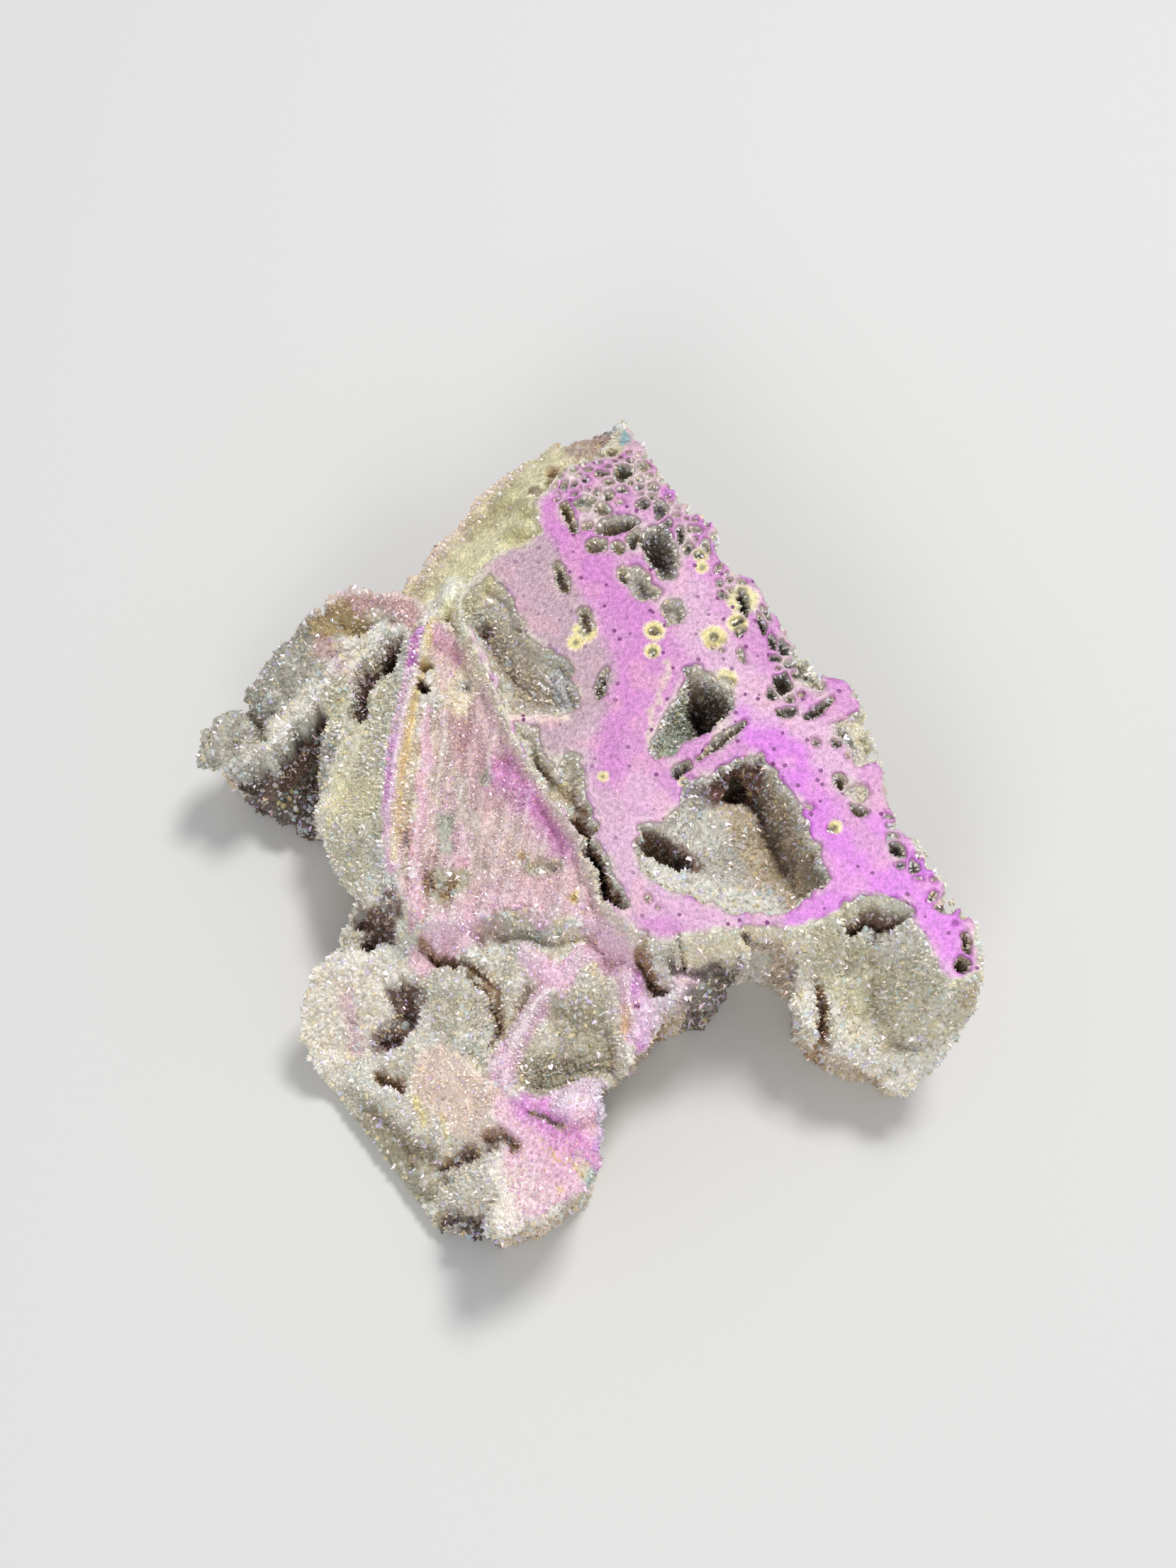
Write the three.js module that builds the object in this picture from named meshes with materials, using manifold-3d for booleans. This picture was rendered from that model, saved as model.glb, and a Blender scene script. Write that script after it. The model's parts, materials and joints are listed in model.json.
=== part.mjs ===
// A broken, hand-sized slab of druzy quartz with a coated skin: one natural stone, millimetres, +Z up.
// The origin is on the flat underside, under the middle of the stone. +Y is the long way.
import * as THREE from "three";
import { mergeVertices } from "three/addons/utils/BufferGeometryUtils.js";
import Module from "manifold-3d";

const wasm = await Module();
wasm.setup();

// ---- Driving dimensions (mm) ----
const FACE_Z = 24; // flat skin above the sawn underside
const FACE_THICK = 4.5; // crisp edge of the flat skin
const FOLD_Z = 21; // top of the draped fold left of the middle
const FOLD_DROP = 1.6; // how far the fold falls from its right edge to the spine
const PATCH_Z = 16.4; // flat pink patch on the left foot
const GRID = 2.6; // spacing of the hand-worked relief
const FLOOR_GRID = 2.4; // spacing of the relief on the floor of a hollow
const SOFT = 0.9; // rounding where two forms meet
const CRUST_GAP = 0.35; // fit between a hollow's wall and its crust
const CRUST_THICK = 0.9; // least thickness of a crust
const FLOOR_MIN = 2.5; // stone left under the deepest hollow
const UNDERCUT = 1.2; // how far the side wall stands back at the underside
const WALL_COURSES = 6; // rough courses up the side wall
const WALL_ROUGH = 0.9; // how far those courses stand in or out
const WELD = 0.04; // edges finer than this are closed up after the cuts
const SKY = 30; // above everything

// The plan of the stone, clockwise from the north tip.
const OUTLINE = [
  [4, 43], [5.5, 42.5], [7, 40], [9, 36], [11, 32], [14, 29], [15.5, 27.5], [15, 25.5],
  [16.5, 23.5], [18.5, 22.5], [19.5, 20.5], [22.5, 16], [25, 12.5], [27.5, 12], [28.5, 10.5],
  [29.5, 7], [30.5, 2], [31, -1], [32, -4], [33.5, -5.5], [34.5, -7.5], [36, -10], [37, -12],
  [38.5, -13.5], [39, -15.5], [39.5, -18], [38.5, -22], [37, -25], [34.5, -26.5], [33, -27.5],
  [30.5, -26.5], [29, -25.5], [27, -25], [24.5, -24.5], [22.5, -22.5], [21, -19.5], [21, -17],
  [19.5, -15.5], [16.5, -15], [18, -16.5], [16.5, -17.5], [14, -19.5], [11, -21], [9, -21],
  [8, -24], [6, -25.5], [3.5, -27.5], [3, -29], [3.5, -32.5], [3, -36.5], [1, -39], [-1, -40.5],
  [-3, -41.5], [-7, -43], [-9, -42], [-11, -42], [-12.5, -40.5], [-14, -39], [-24.5, -25.5],
  [-22.5, -24], [-25, -25], [-26.5, -24.5], [-28, -21.5], [-27.5, -17.5], [-27, -15.5],
  [-24.5, -13.5], [-24, -10.5], [-22.5, -8], [-25, -5], [-26, -3], [-26.5, -0.5], [-31, 2.5],
  [-34.5, 4], [-37.5, 6.5], [-39, 5], [-39.5, 8.5], [-39, 10.5], [-38, 12.5], [-34.5, 14],
  [-33.5, 16], [-31, 20.5], [-29, 21], [-26.5, 22.5], [-25, 24], [-23, 24.5], [-19.5, 23.5],
  [-18, 28], [-16.5, 29], [-16, 31.5], [-14, 32.5], [-12, 34.5], [-10, 37], [-7.5, 39],
  [-5.5, 39.5], [-3, 41.5], [-0.5, 42], [2, 42.5],
];
const SAWN_EDGE = [[-14, -39], [-24.5, -25.5]]; // the straight saw cut of the left foot

// The flat coated skin: the band down the right side and the middle of the slab.
const FACE = [
  [5.5, 42], [7, 39.5], [9, 35], [11, 31.5], [14, 29], [15.3, 27], [14.8, 25.5], [16.3, 23.5],
  [18.3, 22.3], [19.3, 20.3], [22.3, 16], [25, 12], [27, 11], [28, 8.5], [29, 5.5], [30, 1],
  [30.5, -2], [31.5, -4.5], [33, -6.5], [34, -8], [35.5, -10.5], [37, -12.5], [38, -14],
  [38, -16.5], [38, -19], [35.5, -20], [34.5, -19], [33.5, -17], [33, -15.5], [32, -14],
  [31, -12.5], [29.5, -11.5], [26.5, -12.5], [24, -13.5], [22, -14.5], [20, -15], [17, -15],
  [13.5, -15], [11, -15.5], [9, -16.5], [6.5, -15.5], [4, -13.5], [3, -11.5], [2, -9],
  [0.5, -5.5], [-1.5, -2.5], [-3.5, 1], [-6, 5], [-7.5, 9], [-8.5, 11.5], [-10, 14.5], [-11, 17],
  [-11.5, 20.5], [-10, 22.5], [-8, 25], [-5, 26], [-3.5, 27.5], [-4, 31], [-1, 35], [2, 36.5],
  [4, 38.5],
];
// The convex fold that hangs from the spine to the middle.
const FOLD = [
  [-14.5, 19.5], [-12, 17], [-10.5, 15], [-8.5, 13], [-8, 10], [-6.5, 6.5], [-4, 2], [-1.5, -1.5],
  [0.5, -4.5], [2, -8.5], [3, -10.5], [4, -12.5], [1, -13], [-3.5, -13.5], [-7.5, -12],
  [-11.5, -13], [-15, -12.5], [-17, -10], [-17.5, -5.5], [-18, 2], [-17, 8], [-15.5, 14],
];
const PATCH = [
  [-7.5, -29], [-3.5, -29], [-0.5, -28], [2.2, -27.5], [2.5, -29], [2.8, -34.5], [2.3, -37.5],
  [-0.5, -39.5], [-4, -41], [-6, -42.5], [-7.5, -41], [-7, -38.5], [-8, -36], [-6, -33.5],
  [-8, -31],
];

// Ridges, lobes and lumps: a crest line with its heights, half width, doming and fall beyond it.
const RIDGES = {
  north_bevel: {
    crest: [[4, 40, 20], [-1, 36, 22], [-3.5, 33, 22.5], [-4, 28.5, 23], [-8.5, 25, 22], [-14.5, 20, 19]],
    half: 1, dome: 0, fall: 1,
  },
  tip: { crest: [[4, 42, 20.5], [6, 40.5, 21]], half: 1.2, dome: 0.5, fall: 1.2 },
  spine: {
    crest: [[-14.5, 19.5, 21], [-15, 13.5, 22], [-17, 5, 22.3], [-18, -2.5, 21.8], [-17, -9.5, 18.5]],
    half: 0.5, dome: 0, fall: 1.6,
  },
  tongue: {
    crest: [[-21, 13.5, 15.5], [-22.5, 8, 14.5], [-23.5, 2, 12.5], [-23, -3, 9.5]],
    half: 3, dome: 1.2, fall: 1.6,
  },
  tongue_root: { crest: [[-18.5, 19, 17], [-19.5, 14.5, 16]], half: 1.5, dome: 0.5, fall: 1 },
  arm_ridge: {
    crest: [[-15, 20, 19.5], [-19.5, 18, 18], [-24, 15.5, 16.5], [-32.5, 8.5, 14], [-37, 5.5, 12.8]],
    half: 1.4, dome: 0.6, fall: 2.4,
  },
  arm_lump: { crest: [[-26.5, 18.5, 16.8], [-31, 15.5, 15.3]], half: 3.2, dome: 1.4, fall: 1.6 },
  arm_tip: { crest: [[-35, 11, 13.6], [-37.5, 8, 12.8]], half: 2.8, dome: 1.4, fall: 1.8 },
  arm_brow: {
    crest: [[-26.5, 21.5, 17.2], [-22.5, 23, 18], [-18, 22, 18.8], [-15, 20, 20]],
    half: 0.8, dome: 0.4, fall: 1.8,
  },
  under_arm: { crest: [[-28, 9, 6], [-30.5, 6, 5.5], [-34, 5.5, 4.5]], half: 3.6, dome: 1.2, fall: 1.4 },
  brow_back: { crest: [[-18, 25, 14.5], [-16, 28.5, 14]], half: 1.6, dome: 0.8, fall: 1.2 },
  waist: { crest: [[-19, -8.5, 12], [-14.5, -12.5, 15]], half: 3.5, dome: 0.8, fall: 1.2 },
  cheek: { crest: [[-24.5, -17.5, 14.3], [-19, -16, 15.5]], half: 2.9, dome: 1.2, fall: 2.2 },
  chin: { crest: [[-25.5, -22.5, 11.3], [-22.5, -24.5, 9]], half: 2.2, dome: 1, fall: 1.6 },
  pillow: { crest: [[-11.5, -18.5, 18], [-11.5, -21.5, 16.5]], half: 2.4, dome: 1.4, fall: 2.2 },
  shoulder: { crest: [[-13, -11, 18.2], [-7.5, -14, 18]], half: 2.2, dome: 0.8, fall: 1.2 },
  saddle: { crest: [[-4.5, -16, 18.8], [0.5, -16, 18.8]], half: 1.5, dome: 0.5, fall: 1.3 },
  rib: {
    crest: [[-2.5, -19.5, 18], [-4.5, -22.5, 17.5], [-6.5, -25, 17], [-7.5, -29, 16.8]],
    half: 0.9, dome: 0.3, fall: 1.6,
  },
  inner_lobe: { crest: [[10, -15.5, 21.5], [10, -18, 19]], half: 1.7, dome: 0.8, fall: 1.6 },
  violet_lobe: { crest: [[5.5, -18, 18.5], [6.5, -23, 15]], half: 1.9, dome: 0.8, fall: 1.8 },
  belly: { crest: [[-7.5, -21.5, 14], [3.5, -20.5, 13]], half: 4, dome: 1, fall: 1.2 },
  foot_brow: { crest: [[-17, -24, 14.5], [-13, -26.5, 15.5], [-7.5, -30, 16]], half: 2.2, dome: 0.8, fall: 0.75 },
  foot_toe: { crest: [[-11.5, -36, 9.5], [-8, -38, 12]], half: 1.8, dome: 0.8, fall: 0.9 },
  foot_edge: { crest: [[-5, -42.5, 12.5], [-1, -41, 14.5]], half: 1.2, dome: 0.6, fall: 2 },
  foot_block: { crest: [[0, -30.5, 18.2], [2, -30, 18.4]], half: 1.1, dome: 0.2, fall: 2.5 },
  heel_top: { crest: [[23.5, -14.5, 15], [30.5, -14.5, 15.5], [36, -18.5, 14.5]], half: 2.6, dome: 1, fall: 0.9 },
  heel_mid: { crest: [[23.5, -20.5, 12], [29.5, -20.5, 12], [36.5, -20, 10.5]], half: 3, dome: 0.8, fall: 1 },
  heel_low: { crest: [[24, -23.5, 6.5], [31.5, -25, 5.5], [36.5, -22.5, 6]], half: 2.2, dome: 0.8, fall: 1.2 },
  heel_pillow: { crest: [[22, -19, 13.2], [22.5, -22.5, 12]], half: 1.4, dome: 0.9, fall: 2.4 },
  heel_lump: { crest: [[32.5, -13.5, 17.5], [33, -15.5, 16.5]], half: 1.2, dome: 0.7, fall: 1.5 },
  notch_lump: { crest: [[15, -15.5, 6.5], [16, -16.5, 5]], half: 2, dome: 0.8, fall: 1.5 },
  notch_toe: { crest: [[12.5, -19, 5], [10.5, -20, 4.5]], half: 2, dome: 0.8, fall: 1.4 },
};

// Hollows: a rim, the line its floor drains to, the step at the rim and the depth below the rim.
const HOLLOWS = {
  great_hollow: {
    rim: [
      [18.5, 3], [19.5, 1.5], [21, -1], [22.5, -4], [23.5, -6.5], [24.5, -10], [23, -11.5], [21.5, -12.5],
      [20, -13.2], [17, -13.5], [15.5, -13.2], [12, -12], [9, -11], [6.5, -9], [6, -7], [6, -4.5],
      [8.5, -4], [10, -2], [10.5, 0], [13, 1], [16, 2.5],
    ],
    valley: [[18, 1], [20, -2], [21.2, -5], [21, -8]], top: FACE_Z, step: 2, depth: 13,
    fill: {
      pillow: { crest: [[14.5, -1.5, 18.2], [13, -6, 17.2]], half: 1.8, dome: 1, fall: 1.1 },
      ledge: { crest: [[9, -9, 20], [14, -10.3, 19.4], [19, -11, 19]], half: 1.2, dome: 0.4, fall: 1.5 },
    },
  },
  north_hollow: {
    rim: [
      [12, 13], [13.5, 12], [14.5, 11], [15.5, 10], [16, 8], [15.5, 6.5], [14, 5.5], [12, 4], [10, 3],
      [8, 2], [7.5, 3], [8.5, 6.5], [10, 9.5], [11, 12],
    ],
    valley: [[12.8, 10.5], [14, 7.5]], top: FACE_Z, step: 2, depth: 14, fill: {},
  },
  west_hollow: {
    rim: [
      [-10.5, 21], [-8.5, 22.5], [-7.5, 22], [-6.5, 21], [-5.5, 18.5], [-4.5, 16], [-2.5, 14.5],
      [-0.5, 13], [0.5, 9.5], [0.5, 8], [-1.5, 7], [-4, 7.5], [-6, 7], [-7.5, 8], [-7.5, 11],
      [-8.5, 13.5], [-9.5, 15], [-11, 17.5], [-11.5, 20],
    ],
    valley: [[-9.5, 18.5], [-8, 15.5], [-4.5, 11]], top: FACE_Z, step: 1.8, depth: 7, fill: {},
  },
  mid_hollow: {
    rim: [
      [-6, 4], [-3.5, 4], [-3, 2.5], [-1.5, 0.5], [-0.5, 2.5], [0.5, 2], [1.5, -2], [2, -3.5],
      [-0.5, -3.5], [-2.5, -1.5], [-4, 1],
    ],
    valley: [[-4, 3], [-1.2, -0.5], [0.7, -1.5]], top: FACE_Z, step: 1, depth: 5, fill: {},
  },
  eye: {
    rim: [[6, -6], [7, -4.5], [9, -4.5], [10.5, -5.5], [12, -7], [10.5, -8], [8, -7.5]],
    valley: [[8, -6], [10, -6.8]], top: 21, step: 2, depth: 10, fill: {},
  },
  bowl: {
    rim: [[-2.5, -19.5], [3, -19.5], [4, -25.5], [2.5, -26.5], [-1, -28.5], [-5, -28.5], [-6, -27.5], [-4.5, -23.5]],
    valley: [[0.5, -22], [-2.5, -26]], top: 17, step: 0.6, depth: 4.5, fill: {},
  },
  cave: {
    rim: [[-11.5, -38], [-10, -37.5], [-8, -38], [-8, -42], [-10, -42], [-12, -41.5]],
    valley: [[-10, -40]], top: 10, step: 1, depth: 6, fill: {},
  },
  edge_facet: {
    rim: [[25, 6.5], [27.5, 8], [28.5, 8], [29.5, 4.5], [30, 3], [29.5, 2], [28, 1.5], [26.5, 4]],
    valley: [[28.5, 5.5], [29, 3.5]], top: FACE_Z, step: 0.6, depth: 2.6, fill: {},
  },
  big_cell: {
    rim: [[7.5, 28], [8.5, 28.5], [9.5, 28], [10, 27], [10.5, 24], [8, 24], [6.5, 25], [6.5, 26.5]],
    valley: [[9, 27]], top: FACE_Z, step: 1.2, depth: 6, fill: {},
  },
  blue_cell: {
    rim: [[5.5, 23.5], [7, 24], [8, 22.5], [9, 21], [8.5, 20], [7, 19.5], [5.5, 21]],
    valley: [[7, 22]], top: FACE_Z, step: 0.6, depth: 3.5, fill: {},
  },
  oval_cell: {
    rim: [[21.5, 13.5], [22, 14.5], [23, 14.5], [24, 13.5], [25, 10.5], [24, 9.5], [22.5, 10.5]],
    valley: [[23, 12.5]], top: FACE_Z, step: 0.6, depth: 3, fill: {},
  },
  elbow_dip: {
    rim: [[-26, 21.5], [-22.5, 22], [-21, 20.5], [-22, 19], [-25, 19.5]],
    valley: [[-23.5, 20.5]], top: 17.5, step: 0.3, depth: 2.5, fill: {},
  },
};
const CRUSTED = ["great_hollow", "north_hollow", "west_hollow"];

// Clefts: a line, its half width at the top and its depth below the surface it cuts.
const CLEFTS = {
  brown_cleft: { line: [[0.5, -4], [1.7, -6], [2.5, -8.5], [3.5, -10.5], [4.5, -12.5]], half: 0.9, depth: 8 },
  arm_slit: { line: [[-18.5, 17.5], [-19, 16], [-21, 14.5], [-22, 12.5]], half: 1, depth: 6 },
  cheek_hollow: { line: [[-21, -9], [-19, -11], [-21, -13]], half: 1.3, depth: 5 },
  gold_hollow: { line: [[-17, -18], [-16, -20.5], [-18, -22]], half: 1.4, depth: 5 },
  pillow_cleft: {
    line: [[-14, -15], [-11.5, -16.3], [-8.5, -18.5], [-7.5, -22], [-8, -24]],
    half: 0.8, depth: 4.5,
  },
  chin_cleft: { line: [[-19, -24.5], [-17, -25.5], [-15.5, -25]], half: 0.7, depth: 3.5 },
  u_cleft: { line: [[-14, -6], [-14.5, -8], [-13, -10], [-11.5, -9], [-10.5, -6.5]], half: 0.7, depth: 3 },
  lobe_cleft: { line: [[6.5, -16], [7.5, -18], [8.5, -19]], half: 0.8, depth: 5 },
  foot_gully: {
    line: [[-20, -28.5], [-16.5, -31.5], [-14, -33], [-11, -34.5], [-7.5, -33.5], [-5.5, -34]],
    half: 1, depth: 3.5,
  },
  heel_slit: { line: [[24, -18], [24.5, -20], [24.5, -23]], half: 0.6, depth: 4 },
  heel_dark: { line: [[26.5, -13.3], [29.8, -12.7]], half: 1.4, depth: 5 },
};

// Pits in the skin: centre, half sizes, turn in degrees (anticlockwise) and depth.
const PITS = [
  [14.4, 5, 0.6, 3, -53, 2.5], [10.2, 1.6, 0.6, 1.1, -45, 2.5], [-1.2, 22.4, 0.6, 1.8, 15, 3],
  [1.1, 17.8, 0.7, 1.4, 10, 2.5], [2.8, 10.7, 0.5, 1.7, -15, 3], [4.3, 28.4, 2.1, 1, 15, 3.5],
  [6, 26.6, 0.6, 1.1, -35, 8], [-0.6, 29.5, 0.6, 1.7, 20, 3], [2.2, 26, 1.1, 0.8, 0, 2.5],
  [5.1, 34.5, 0.8, 1.3, 0, 2.5], [0.9, 30.9, 1, 0.7, 0, 1.5], [2.9, 30.1, 0.7, 0.7, 0, 2],
  [3.6, 31.7, 0.6, 0.5, 0, 2], [7.1, 30.9, 0.6, 0.6, 0, 2], [8.8, 30.2, 0.6, 1.1, 0, 2],
  [9.3, 22.6, 0.8, 0.5, 0, 2], [9.9, 18.5, 1.1, 1.4, 0, 2], [4.9, 22.8, 0.5, 0.8, 0, 2],
  [12.6, 27.9, 0.8, 0.5, -20, 1.5], [13.3, 26, 0.5, 0.8, 10, 1.5], [17, 19.6, 0.4, 1.4, 10, 5],
  [16.3, 17.3, 0.5, 0.5, 0, 2], [20.6, 10.7, 0.8, 1.1, 0, 3], [21, 7.4, 0.8, 0.6, 0, 1.5],
  [24.2, 7.9, 0.5, 1.7, -53, 2.5], [20.8, 14.6, 0.5, 0.8, 0, 2.5], [18.8, 17.2, 0.4, 0.9, 15, 2.5],
  [25.7, 0.4, 0.5, 0.7, 0, 3], [27.6, -2.9, 0.7, 0.5, -30, 3.5], [31.1, -6.9, 0.8, 0.7, 0, 2.5],
  [32.5, -8.5, 0.6, 0.6, 0, 1.5], [35.3, -12.4, 0.9, 0.8, 0, 3], [37, -16.1, 0.4, 0.9, 0, 3],
  [36.4, -18.2, 0.6, 0.7, 0, 5], [8, 16.3, 0.4, 0.4, 0, 1.5], [-3, -7.6, 1.4, 1, 0, 2.5],
  [-14.8, 13.9, 0.6, 0.6, 0, 3], [-2.4, -31.4, 1.7, 0.4, -20, 3],
];

// Where the stone is open below its skin: [centre], [half sizes].
const UNDERCUTS = {
  under_the_bar: { at: [14.2, 3.4, 14], half: [3, 5.5, 3.6] },
  under_the_notch_rim: { at: [18.5, -15.5, 6], half: [3.4, 3.6, 7.5] },
};

// ---- Small helpers ----
function lattice(i, j, k) {
  const s = Math.sin(i * 127.1 + j * 311.7 + k * 74.7) * 43758.5453;
  return s - Math.floor(s);
}

// Smooth noise from -1 to 1, with features one unit across.
function noise(x, y, z) {
  const [i, j, k] = [Math.floor(x), Math.floor(y), Math.floor(z)];
  const ease = (t) => t * t * (3 - 2 * t);
  const [u, v, w] = [ease(x - i), ease(y - j), ease(z - k)];
  let sum = 0;
  for (const [a, b, c] of [[0, 0, 0], [1, 0, 0], [0, 1, 0], [1, 1, 0], [0, 0, 1], [1, 0, 1], [0, 1, 1], [1, 1, 1]]) {
    const weight = (a ? u : 1 - u) * (b ? v : 1 - v) * (c ? w : 1 - w);
    sum += weight * lattice(i + a, j + b, k + c);
  }
  return 2 * sum - 1;
}

function softMax(a, b) {
  const near = Math.max(0, 1 - Math.abs(a - b) / SOFT);
  return Math.max(a, b) + 0.25 * SOFT * near * near;
}

// Nearest point of a broken line: its distance and the height carried along the line.
function nearest(line, x, y) {
  let best = { distance: Infinity, z: 0 };
  const last = Math.max(1, line.length - 1);
  for (let i = 0; i < last; i += 1) {
    const a = line[i];
    const b = line[Math.min(i + 1, line.length - 1)];
    const [dx, dy] = [b[0] - a[0], b[1] - a[1]];
    const span = dx * dx + dy * dy || 1;
    const t = Math.min(1, Math.max(0, ((x - a[0]) * dx + (y - a[1]) * dy) / span));
    const distance = Math.hypot(x - a[0] - t * dx, y - a[1] - t * dy);
    if (distance < best.distance) {
      best = { distance, z: (a[2] ?? 0) + t * ((b[2] ?? 0) - (a[2] ?? 0)) };
    }
  }
  return best;
}

// Distance to a closed plan, positive inside.
function insideBy(plan, x, y) {
  const edge = nearest([...plan, plan[0]], x, y).distance;
  let inside = false;
  for (let i = 0, j = plan.length - 1; i < plan.length; j = i, i += 1) {
    const [a, b] = [plan[i], plan[j]];
    if (a[1] > y !== b[1] > y && x < ((b[0] - a[0]) * (y - a[1])) / (b[1] - a[1]) + a[0]) {
      inside = !inside;
    }
  }
  return inside ? edge : -edge;
}

function ridgeHeight({ crest, half, dome, fall }, x, y) {
  const { distance, z } = nearest(crest, x, y);
  const across = Math.min(1, distance / half);
  return z - dome * across * across - fall * Math.max(0, distance - half);
}

function plateHeight(plan, top, fall, x, y) {
  return top - fall * Math.max(0, -insideBy(plan, x, y));
}

// ---- The relief of the stone, without its hollows ----
function foldTop(x, y) {
  const toSpine = Math.min(1, Math.max(0, insideBy(FACE, x, y) / -10));
  return FOLD_Z - FOLD_DROP * toSpine + 0.35 * Math.sin(x * 1.1 - y * 0.25);
}

function relief(x, y) {
  let z = 3;
  for (const ridge of Object.values(RIDGES)) {
    z = softMax(z, ridgeHeight(ridge, x, y));
  }
  z = softMax(z, plateHeight(FACE, FACE_Z - 0.6, 2, x, y));
  z = softMax(z, plateHeight(FOLD, foldTop(x, y), 2.2, x, y));
  z = softMax(z, plateHeight(PATCH, PATCH_Z - 0.4, 2, x, y));
  const sawn = nearest(SAWN_EDGE, x, y).distance;
  return Math.max(0.6, Math.min(z, 1 + 1.25 * sawn) + 0.45 * noise(x / 2.3, y / 2.3, 7));
}

// ---- Solids ----
function solid(geometry) {
  const bare = geometry.index ? geometry.toNonIndexed() : geometry;
  bare.deleteAttribute("normal");
  bare.deleteAttribute("uv");
  const merged = mergeVertices(bare, 1e-4);
  const mesh = new wasm.Mesh({
    numProp: 3,
    vertProperties: new Float32Array(merged.attributes.position.array),
    triVerts: new Uint32Array(merged.index.array),
  });
  return new wasm.Manifold(mesh);
}

function prism(plan, bottom, top, layers = 1) {
  const shape = new THREE.Shape(plan.map(([x, y]) => new THREE.Vector2(x, y)));
  const geometry = new THREE.ExtrudeGeometry(shape, { depth: top - bottom, steps: layers, bevelEnabled: false });
  geometry.translate(0, 0, bottom);
  return geometry;
}

// A block over a rectangle of the plan, whose top and bottom follow two height functions.
function block([x0, y0, x1, y1], spacing, bottomOf, topOf) {
  const [nx, ny] = [Math.ceil((x1 - x0) / spacing), Math.ceil((y1 - y0) / spacing)];
  const geometry = new THREE.BoxGeometry(x1 - x0, y1 - y0, 1, nx, ny, 1);
  geometry.translate((x0 + x1) / 2, (y0 + y1) / 2, 0);
  const p = geometry.attributes.position;
  for (let i = 0; i < p.count; i += 1) {
    const heightOf = p.getZ(i) > 0 ? topOf : bottomOf;
    p.setZ(i, heightOf(p.getX(i), p.getY(i)));
  }
  return geometry;
}

function around(plan, margin) {
  const xs = plan.map((p) => p[0]);
  const ys = plan.map((p) => p[1]);
  return [Math.min(...xs) - margin, Math.min(...ys) - margin, Math.max(...xs) + margin, Math.max(...ys) + margin];
}

// A plan drawn in by the same distance all round.
function drawnIn(plan, distance) {
  const turn = THREE.ShapeUtils.isClockWise(plan.map(([x, y]) => new THREE.Vector2(x, y))) ? -1 : 1;
  return plan.map(([x, y], i) => {
    const before = plan[(i + plan.length - 1) % plan.length];
    const after = plan[(i + 1) % plan.length];
    const a = new THREE.Vector2(x - before[0], y - before[1]).normalize();
    const b = new THREE.Vector2(after[0] - x, after[1] - y).normalize();
    const inward = new THREE.Vector2(-a.y - b.y, a.x + b.x).multiplyScalar(turn).normalize();
    const lean = Math.max(0.5, Math.abs(inward.dot(new THREE.Vector2(-a.y, a.x))));
    return [x + (inward.x * distance) / lean, y + (inward.y * distance) / lean];
  });
}

// A rough stone ball or lump.
function lump([x, y, z], [rx, ry, rz], seed) {
  const geometry = new THREE.IcosahedronGeometry(1, 1);
  const p = geometry.attributes.position;
  const v = new THREE.Vector3();
  for (let i = 0; i < p.count; i += 1) {
    v.fromBufferAttribute(p, i);
    v.multiplyScalar(1 + 0.16 * noise(v.x * 2 + seed, v.y * 2, v.z * 2));
    p.setXYZ(i, x + v.x * rx, y + v.y * ry, z + v.z * rz);
  }
  return solid(geometry);
}

// A pointed quartz crystal that grows from a place in a direction.
function crystal(place, direction, radius, length) {
  const geometry = new THREE.ConeGeometry(radius, length, 5);
  geometry.translate(0, length / 2, 0);
  const turn = new THREE.Quaternion().setFromUnitVectors(new THREE.Vector3(0, 1, 0), direction);
  geometry.applyQuaternion(turn);
  geometry.translate(place.x, place.y, place.z);
  return solid(geometry);
}

function slopeNormal(heightOf, x, y) {
  const step = 0.5;
  const dx = (heightOf(x + step, y) - heightOf(x - step, y)) / (2 * step);
  const dy = (heightOf(x, y + step) - heightOf(x, y - step)) / (2 * step);
  return new THREE.Vector3(-dx, -dy, 1).normalize();
}

// Crystals scattered over a height function, wherever the place is bare druse.
function druse(body, box, spacing, heightOf, isDruse, size) {
  let grown = body;
  for (let x = box[0]; x < box[2]; x += spacing) {
    for (let y = box[1]; y < box[3]; y += spacing) {
      const px = x + spacing * 0.4 * noise(x * 3.1, y * 2.7, 1);
      const py = y + spacing * 0.4 * noise(x * 2.3, y * 3.7, 5);
      if (isDruse(px, py)) {
        const lean = new THREE.Vector3(noise(px * 5, py, 2), noise(px, py * 5, 3), 0.4).multiplyScalar(0.5);
        const direction = slopeNormal(heightOf, px, py).add(lean).normalize();
        const grow = 1 + 0.35 * noise(px * 4, py * 4, 9);
        const root = new THREE.Vector3(px, py, heightOf(px, py) - 0.4 * size);
        grown = grown.add(crystal(root, direction, 0.55 * size * grow, 1.5 * size * grow));
      }
    }
  }
  return grown;
}

// ---- Hollows, clefts and pits ----
function floorHeight({ rim, valley, top, step, depth, fill }, x, y) {
  const toRim = Math.max(0, insideBy(rim, x, y));
  const toValley = nearest(valley, x, y).distance;
  const share = (toRim / (toRim + toValley + 0.01)) ** 0.8;
  let z = top - step - (depth - step) * share + 0.3 * noise(x / 1.6, y / 1.6, 3);
  for (const ridge of Object.values(fill)) {
    z = softMax(z, ridgeHeight(ridge, x, y));
  }
  return Math.max(FLOOR_MIN, z);
}

function hollowCutter(hollow) {
  const floor = (x, y) => floorHeight(hollow, x, y);
  const room = solid(block(around(hollow.rim, 1), FLOOR_GRID, floor, () => SKY));
  return room.intersect(solid(prism(hollow.rim, 0, SKY)));
}

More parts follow.
